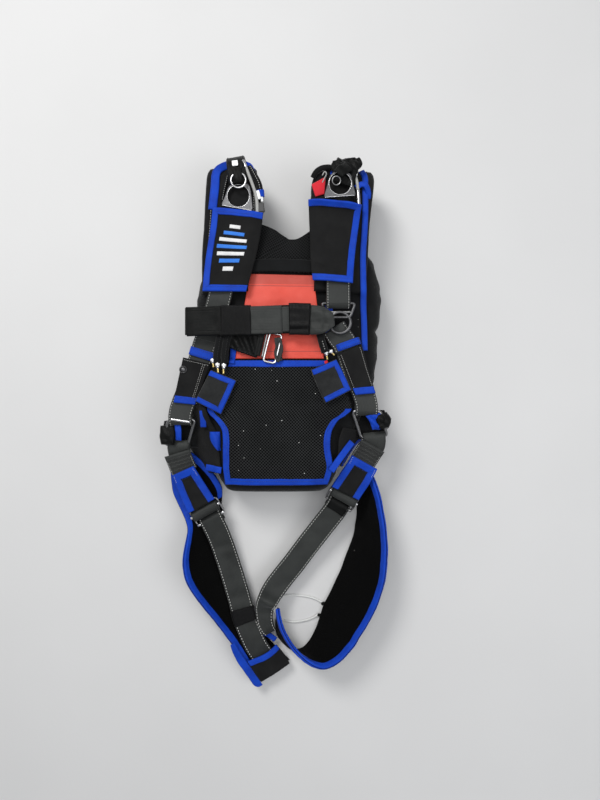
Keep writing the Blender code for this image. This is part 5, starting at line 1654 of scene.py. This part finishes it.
def make_leg_pads():
    outer = [(-213, -192, 46), (-209, -233, 42), (-193, -270, 40), (-182, -302, 46), (-186, -350, 64),
             (-181, -386, 68), (-165, -418, 62), (-134, -465, 48), (-104, -512, 34), (-80, -556, 24),
             (-60, -596, 18)]
    inner = [(-176, -162, 44), (-146, -190, 40), (-124, -226, 32), (-126, -262, 16), (-118, -312, 6),
             (-108, -352, 5), (-98, -392, 5), (-86, -432, 5), (-66, -478, 5), (-36, -520, 5), (0, -556, 5)]
    grid = refine(grid_between(outer, inner, 2, 4, bow=2.0), 3.4)
    ripple(grid, 1.3, 46, seed=3.0, edges=0.5)
    crease(grid, [(-170, -330, -120, -340, 9, -1.6), (-160, -400, -100, -380, 10, 1.6),
                  (-120, -470, -80, -440, 9, -1.3)])
    for row in grid:
        for p in row:
            p.z = max(p.z, 4.0)
    pad = cloth("leg_foam_left", grid, 4.4, LEG_MESH, ("leg_pad_left",), puff=0.3)
    rows = len(grid)
    cols = len(grid[0])
    coarse = 21
    mark = round(5 / (coarse - 1) * (rows - 1))
    tape("leg_tape_left", grid, 4.4, BLUE_TAPE, (rows - 1, 0), (mark, cols - 1), lip=9.5,
         gap=0.9, replaced=("leg_pad_binding_left",), lump=0.35)

    outer = [(150, -198, 62), (163, -240, 76), (172, -300, 84), (173, -345, 85), (167, -395, 84),
             (151, -440, 82), (127, -483, 80), (98, -522, 78), (66, -542, 75), (35, -532, 70),
             (8, -508, 62), (-11, -478, 52), (-18, -446, 46)]
    inner = [(122, -215, 34), (130, -258, 10), (128, -307, 5), (114, -350, 5), (97, -392, 5),
             (81, -428, 5), (66, -458, 5), (58, -484, 5), (46, -512, 5), (28, -534, 5),
             (6, -536, 5), (-18, -512, 5), (-23, -482, 6), (-20, -447, 10)]
    grid = refine(grid_between(inner, outer, 2, 4), 3.4)
    ripple(grid, 1.5, 50, seed=8.0, edges=0.4)
    crease(grid, [(100, -390, 160, -380, 12, -2.0), (120, -300, 165, -310, 12, 1.6),
                  (70, -470, 120, -500, 9, -1.6)])
    for row in grid:
        for p in row:
            p.z = max(p.z, 4.0)
    pad = cloth("leg_foam_right", grid, 4.4, LEG_MESH, ("leg_pad_right",), puff=0.3)
    rows = len(grid)
    cols = len(grid[0])
    tape("leg_tape_right", grid, 4.4, BLUE_TAPE, (0, cols - 1), (rows - 1, cols - 1), lip=9.5,
         gap=0.9, replaced=("leg_pad_binding_right",), lump=0.35)


def make_hangers():
    routes = {
        "left": [(-194, -158, 63), (-194, -145, 63.8), (-194, -138.6, 70), (-194, -145, 76.2),
                 (-193, -160, 72), (-184, -194, 63), (-172, -225, 58), (-163, -242, 56),
                 (-156, -254.5, 54.2), (-152.9, -260.1, 48), (-156, -254.5, 41.8), (-162, -244, 41.8)],
        "right": [(154, -142, 73), (153, -130, 73.8), (152.4, -123.6, 80), (153, -130, 86.2),
                  (153, -144, 83), (143, -166, 76), (127, -192, 69), (114, -217, 64),
                  (107, -229, 62.2), (103.9, -234.6, 56), (107, -229, 49.8), (113, -218.4, 49.8)],
    }
    for side, route in routes.items():
        name = "leg_hanger_" + side
        grid = strap(name, route, 36.0, WEB, (name,), passes=3,
                     free=[*range(7), *range(-7, 0)], seam="black", amount=0.4)
        # the sewn band over the hanger, with its rows of stitches
        names = ORDER[:ORDER.index("hip_panel_left")]
        if side == "left":
            band = [(-195, -160, 0), (-190, -176, 0), (-184, -192, 0)]
        else:
            band = [(149, -146, 0), (141, -160, 0), (133, -174, 0)]
        grid = web_grid(band, 44.0, 5)
        lay(grid, 3.4, names, under=1.0, reach=8, stiff=True, passes=10)
        grid = refine([[r[0], r[0].lerp(r[1], 0.5), r[1]] for r in grid], 2.4)
        ripple(grid, 0.7, 20, seed=1.6)
        cloth("hanger_band_" + side, grid, 3.2, WEB, puff=0.3)
        for s in (0.18, 0.36, 0.54, 0.72):
            corners = [(s + (0.05 if k % 2 else -0.02), 0.07 + 0.86 * k / 12) for k in range(13)]
            sew_path(f"hanger_band_{side}-grey", grid, 2.1, corners, pitch=3.0, radius=0.5)
            sew_path(f"hanger_band_{side}-black", grid, 2.0, [(s + 0.07, 0.05), (s + 0.07, 0.95)], pitch=3.4,
                     radius=1.1)
        sew_path(f"hanger_band_{side}-pale", grid, 2.1, [(0.3, 0.03), (0.97, 0.03)], pitch=3.2, radius=0.35)
        sew_path(f"hanger_band_{side}-pale", grid, 2.1, [(0.3, 0.97), (0.97, 0.97)], pitch=3.2, radius=0.35)

    corners = {
        "left": [(-180, -268, 48), (-132, -241, 48), (-117, -268, 40), (-165, -295, 40)],
        "right": [(84, -216, 56), (130, -242, 56), (115, -267, 46), (69, -241, 46)],
    }
    for side, points in corners.items():
        pts = [Vector(p) for p in points]
        loop = rounded_loop(pts, 6, 10)
        tube("leg_adapter_frame_" + side, loop, 1.9, DULL, ("leg_adapter_" + side,), closed=True,
             around=16)
        # friction bar across the frame, its roller of webbing and the bright ends
        a, b, d, c = pts
        lift = Vector((0, 0, 9.0))
        mid_a = a.lerp(c, 0.42) + lift
        mid_b = b.lerp(d, 0.42) + lift
        tube("leg_adapter_roller_" + side, [mid_a.lerp(mid_b, 0.04 + 0.92 * k / 16) for k in range(17)], 9.0,
             WEB, around=24, squash=0.72)
        for end, p, q in (("a", mid_a, mid_b), ("b", mid_b, mid_a)):
            tube(f"leg_adapter_end_{side}_{end}", [p.lerp(q, -0.04 + 0.09 * k / 4) for k in range(5)],
                 2.9, BRIGHT,
                 around=18)
        bar_a = c + Vector((0, 0, 4.5))
        bar_b = d + Vector((0, 0, 4.5))
        bow = (bar_a - mid_a).normalized() * 2.5
        line = [bar_a.lerp(bar_b, k / 16) + bow * math.sin(math.pi * k / 16) for k in range(17)]
        if side == "left":
            tube("leg_adapter_bar_" + side, line, 2.6, BRIGHT, squash=0.7)
        else:
            tube("leg_adapter_bar_" + side, line, 2.4, DULL, squash=0.7)


def make_leg_straps():
    left = [(-135, -292, 32), (-141, -281.5, 33.8), (-144.1, -275.9, 40), (-141, -281.5, 46.2),
            (-133, -300, 40), (-124, -325, 32), (-110, -369, 27), (-96, -416, 24), (-86, -452, 22),
            (-78, -478, 22), (-60, -520, 22), (-46, -542, 22)]
    grid = web_grid(left, 40.0, 2)
    lay(grid, WEB_THICK, below("leg_strap_left"), under=2.4, stiff=True, passes=2, free=range(8))
    keeper = [[p.copy() for p in row] for row in grid[16:19]]
    grid = refine([[row[0], row[0].lerp(row[-1], 0.5), row[-1]] for row in grid], 2.6)
    ripple(grid, 0.9, 44, seed=2.0)
    crease(grid, [(-150, -345, -100, -330, 7, -1.4), (-120, -425, -75, -405, 9, 1.2),
                  (-105, -460, -65, -445, 6, -1.4)])
    thing = cloth("leg_web_left", grid, WEB_THICK, WEB, ("leg_strap_left",))
    sew_edges("leg_strap_left-pale", grid, WEB_THICK, inset=2.7, s0=0.12, faces=(1, -1), pitch=5.4,
              radius=0.62)
    fine = refine([[row[0], row[0].lerp(row[-1], 0.5), row[-1]] for row in keeper], 2.0)
    ripple(fine, 0.5, 16, seed=7.0)
    sleeve("keeper_left", fine, WEB_THICK, 1.4, ELASTIC, ("strap_keeper",))

    right = [(86, -264, 39), (92, -254, 39.8), (95.1, -248.4, 46), (92, -254, 52.2), (84, -268, 47),
             (68, -290, 40), (38, -330, 34), (10, -368, 31), (-20, -406, 29), (-38, -432, 29),
             (-44, -456, 29), (-41, -480, 27), (-33, -496, 20)]
    grid = web_grid(right, 40.0, 2)
    for row, share in zip(grid[-8:], (0.96, 0.88, 0.8, 0.74, 0.68, 0.64, 0.58, 0.52)):
        middle = row[0].lerp(row[1], 0.5)
        row[0] = middle.lerp(row[0], share)
        row[1] = middle.lerp(row[1], share)
    lay(grid, WEB_THICK, below("leg_strap_right"), stiff=True, passes=2, free=range(8))
    grid = refine([[row[0], row[0].lerp(row[-1], 0.5), row[-1]] for row in grid], 2.6)
    ripple(grid, 0.9, 44, seed=6.0)
    crease(grid, [(60, -330, 20, -350, 9, 1.0), (-40, -420, 10, -400, 9, -1.4),
                  (-55, -450, -20, -425, 6, 1.2)])
    thing = cloth("leg_web_right", grid, WEB_THICK, WEB, ("leg_strap_right",))
    sew_edges("leg_strap_right-pale", grid, WEB_THICK, inset=2.7, s0=0.12, faces=(1, -1), pitch=5.4,
              radius=0.62)
    # the bit of blue tape at the strap's sewn end
    bit = web_grid([(-47, -499, 20), (-36, -504, 20), (-24, -513, 19)], 8.5, 5)
    lay(bit, 2.0, ["leg_strap_right"], stiff=True, under=1.5, passes=4)
    bit = refine(bit, 2.2)
    ripple(bit, 0.8, 12, seed=1.9)
    cloth("leg_tape_right_bit", bit, 2.0, BLUE_TAPE)
    normals = grid_normals(grid)
    a = round(len(grid) * 0.15)
    b = round(len(grid) * 0.33)
    rows = [[grid[i][0].lerp(grid[i][-1], 0.1 + 0.84 * j / 12) + normals[i][0] * 2.7 for j in range(13)]
            for i in range(a, b)]
    ripple(rows, 0.9, 24, seed=3.0)
    crease(rows, [(95, -275, 50, -300, 5, 1.2)])
    cloth("leg_web_right_upper", rows, 2.0, DARK_WEB)


def sleeve(name, grid, thick, wall, look, replaced):
    """A keeper right round a strap."""
    normals = grid_normals(grid)
    verts = []
    uvs = []
    cols = len(grid[0])
    half = thick / 2 + 0.6 + wall
    around = 2 * cols + 2
    run = 0.0
    for i, row in enumerate(grid):
        if i:
            run += (row[0] - grid[i - 1][0]).length
        across = (row[-1] - row[0]).normalized()
        ring = [p + n * half for p, n in zip(row, normals[i])]
        ring.append(row[-1] + across * (1.2 + wall))
        ring += [p - n * half for p, n in reversed(list(zip(row, normals[i])))]
        ring.append(row[0] - across * (1.2 + wall))
        for m, p in enumerate(ring):
            verts.append(p)
            uvs.append((run * MM, m * 0.0026))
    faces = []
    for k in range(len(grid) - 1):
        for m in range(around):
            n = (m + 1) % around
            faces.append((k * around + m, k * around + n, (k + 1) * around + n, (k + 1) * around + m))
    faces.append(tuple(range(around)))
    faces.append(tuple((len(grid) - 1) * around + m for m in range(around)))
    return make_mesh(name, verts, faces, look, uvs, replaced)


def make_hip_panels():
    edges = {
        "left": ([(-204, -200, 58), (-193, -232, 56), (-178, -268, 50)],
                 [(-168, -184, 60), (-152, -212, 56), (-133, -243, 50)]),
        "right": ([(114, -164, 62), (97, -191, 60), (79, -219, 55)],
                  [(157, -188, 60), (143, -215, 58), (126, -243, 55)]),
    }
    for side, (left, right) in edges.items():
        name = "hip_panel_" + side
        grid = grid_between(left, right, 2, 3, crown=2)
        lay(grid, CLOTH_THICK, below("leg_adapter_left"), under=TAPE_WALL + 1.6 + REST, reach=9, passes=40)
        grid = refine(grid, 2.4)
        ripple(grid, 0.7, 20, seed=5.0)
        piece = cloth(name + "_cloth", grid, 2.2, FLAP, (name,), puff=0.4)
        rows = len(grid)
        tape(name + "_tape", grid, 2.4, BLUE_TAPE, (rows - 1, 0), (rows - 1, len(grid[0]) - 1),
             lip=11.5, gap=0.6, replaced=("hip_panel_binding_" + side,), lump=0.3)
        inset = 9.6 / 42
        sew_path(name + "-blue", grid, 2.9,
                 [(0.98, inset), (inset, inset), (inset, 1 - inset), (0.98, 1 - inset)], pitch=3.2,
                 radius=0.32)
        sew_path(name + "-pale", grid, 3.0, [(0.03, 0.93), (0.3, 0.95)], pitch=3.0, radius=0.35)
        sew_path(name + "-pale", grid, 3.0, [(0.03, 0.06), (0.25, 0.05)], pitch=3.0, radius=0.35)


def make_strap_pocket():
    left = [(-74, -547, 20), (-61, -571, 20), (-50, -588, 20)]
    right = [(-22, -520, 20), (-8, -538, 20), (2, -556, 20)]
    grid = grid_between(left, right, 2, 4, crown=4)
    lay(grid, CLOTH_THICK, below("strap_pocket"), under=TAPE_WALL + 1.6 + REST, reach=9)
    grid = refine(grid, 2.6)
    rows = len(grid)
    for i, row in enumerate(grid):
        for j, p in enumerate(row):
            dip = 4.5 * math.sin(math.pi * j / (len(row) - 1)) * (1 - i / (rows - 1))
            p.x += dip * 0.5
            p.y -= dip * 0.85
    ripple(grid, 0.8, 26, seed=3.0)
    edge = web_grid([(-104, -514, 20), (-97, -528, 20), (-84, -550, 20), (-66, -578, 20),
                     (-54, -598, 20)], 13.0, 4)
    for k, row in enumerate(edge):
        share = 0.55 + 0.45 * min(1.0, k / 7)
        row[1] = row[0].lerp(row[1], share)
        if k >= len(edge) - 2:
            tip = 0.55 if k == len(edge) - 1 else 0.85
            row[1] = row[0].lerp(row[1], tip)
    lay(edge, 2.0, ["leg_pad_left", "leg_pad_binding_left"], stiff=True, under=1.2, passes=6)
    edge = refine(edge, 2.4)
    ripple(edge, 0.7, 20, seed=2.7)
    cloth("leg_tape_left_end", edge, 2.0, BLUE_TAPE)
    cols = len(grid[0])
    piece = cloth("strap_pocket_cloth", grid, CLOTH_THICK, FLAP, ("strap_pocket",), puff=0.3)
    tape("strap_pocket_tape", grid, CLOTH_THICK, BLUE_TAPE, (0, 0), (0, cols - 1), lip=9.0,
         replaced=("strap_pocket_binding",), lump=0.4)


def make_elastic():
    """The thin line between the leg pads: white elastic cord, lying on the floor."""
    route = ((64, -449, 3.4), (48, -441, 2.4), (30, -437, 2), (10, -435, 2), (-9, -437, 2), (-24, -446, 2),
             (-29, -460, 2), (-22, -474, 2), (-8, -483, 2), (9, -486, 2), (28, -484, 2), (44, -479, 2.4),
             (56, -472, 3.4))
    line = curve_through(route, 4)
    data = bpy.data.curves.new("elastic_cord", "CURVE")
    data.dimensions = "3D"
    data.bevel_depth = 1.7 * MM
    data.bevel_resolution = 4
    data.use_fill_caps = True
    spline = data.splines.new("POLY")
    spline.points.add(len(line) - 1)
    for point, place in zip(spline.points, line):
        point.co = (place.x * MM, place.y * MM, place.z * MM, 1.0)
    data.materials.append(WHITE_ELASTIC)
    cord = bpy.data.objects.new("elastic_cord", data)
    bpy.context.scene.collection.objects.link(cord)
    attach(cord, "root")
    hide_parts("elastic_loop")
    for k, (x, y) in enumerate(((66, -450), (59, -472))):
        box_piece(f"elastic_tack_{k}", (x, y, 5.5), (8, 6, 3.0), 0.3 - 0.5 * k, ELASTIC, 1.0)


# ---------------------------------------------------------------- floor, light and camera
def make_floor():
    mesh = bpy.data.meshes.new("floor")
    size = 4.0
    mesh.from_pydata([(-size, -size, 0), (size, -size, 0), (size, size, 0), (-size, size, 0)], [],
                     [(0, 1, 2, 3)])
    floor = bpy.data.objects.new("floor", mesh)
    bpy.context.scene.collection.objects.link(floor)
    floor.location.z = -0.0002
    s = Shader("floor_paint", 0.9, specular=0.1)
    soft = s.noise(3.0, 3, 0.5)
    grain = s.noise(160, 2, 0.6)
    mesh.materials.append(s.finish(s.mix(soft, (0.56, 0.56, 0.56, 1), (0.61, 0.61, 0.61, 1)), grain,
                                   0.0004, 0.25))


def area_light(name, place, aim, size, power, colour=(1, 1, 1)):
    data = bpy.data.lights.new(name, "AREA")
    data.shape = "DISK"
    data.size = size
    data.energy = power
    data.color = colour
    lamp = bpy.data.objects.new(name, data)
    lamp.location = place
    lamp.rotation_euler = (Vector(aim) - Vector(place)).to_track_quat("-Z", "Y").to_euler()
    lamp.visible_camera = False
    bpy.context.scene.collection.objects.link(lamp)


def make_lights():
    area_light("key", (-0.9, 1.3, 1.9), (0, -0.1, 0), 0.9, 40, (1.0, 0.99, 0.97))
    area_light("fill", (1.3, -0.5, 1.8), (0, -0.1, 0), 1.4, 14, (0.97, 0.98, 1.0))
    area_light("top", (0.0, 0.2, 2.6), (0, -0.1, 0), 1.6, 18)
    world = bpy.data.worlds.new("studio")
    world.use_nodes = True
    world.node_tree.nodes["Background"].inputs["Color"].default_value = (0.92, 0.94, 0.97, 1)
    world.node_tree.nodes["Background"].inputs["Strength"].default_value = 0.4
    bpy.context.scene.world = world


def make_camera():
    data = bpy.data.cameras.new("camera")
    data.sensor_width = 36.0
    data.lens = 27.05
    data.clip_start = 0.02
    camera = bpy.data.objects.new("camera", data)
    camera.location = (0.022, -0.065, 1.143)
    bpy.context.scene.collection.objects.link(camera)
    bpy.context.scene.camera = camera
    bpy.context.scene.view_settings.view_transform = "Standard"


def main():
    make_camera()
    make_elastic()
    make_container()
    make_back()
    make_yoke()
    make_wings()
    make_shoulders()
    make_leg_pads()
    make_lift_webs()
    make_hips()
    make_hangers()
    make_leg_straps()
    make_hip_panels()
    make_strap_pocket()
    make_risers()
    make_red_tab()
    make_rings()
    make_shoulder_details()
    make_mud_flaps()
    make_chest()
    make_pockets()
    make_handles()
    make_housings()
    flush_threads({"pale": (PALE_THREAD, "white_elastic"), "grey": (GREY_THREAD, "webbing"),
                   "black": (BLACK_THREAD, "black_cloth"),
                   "blue": (BLUE_THREAD, "blue_tape")})
    make_floor()
    make_lights()


main()
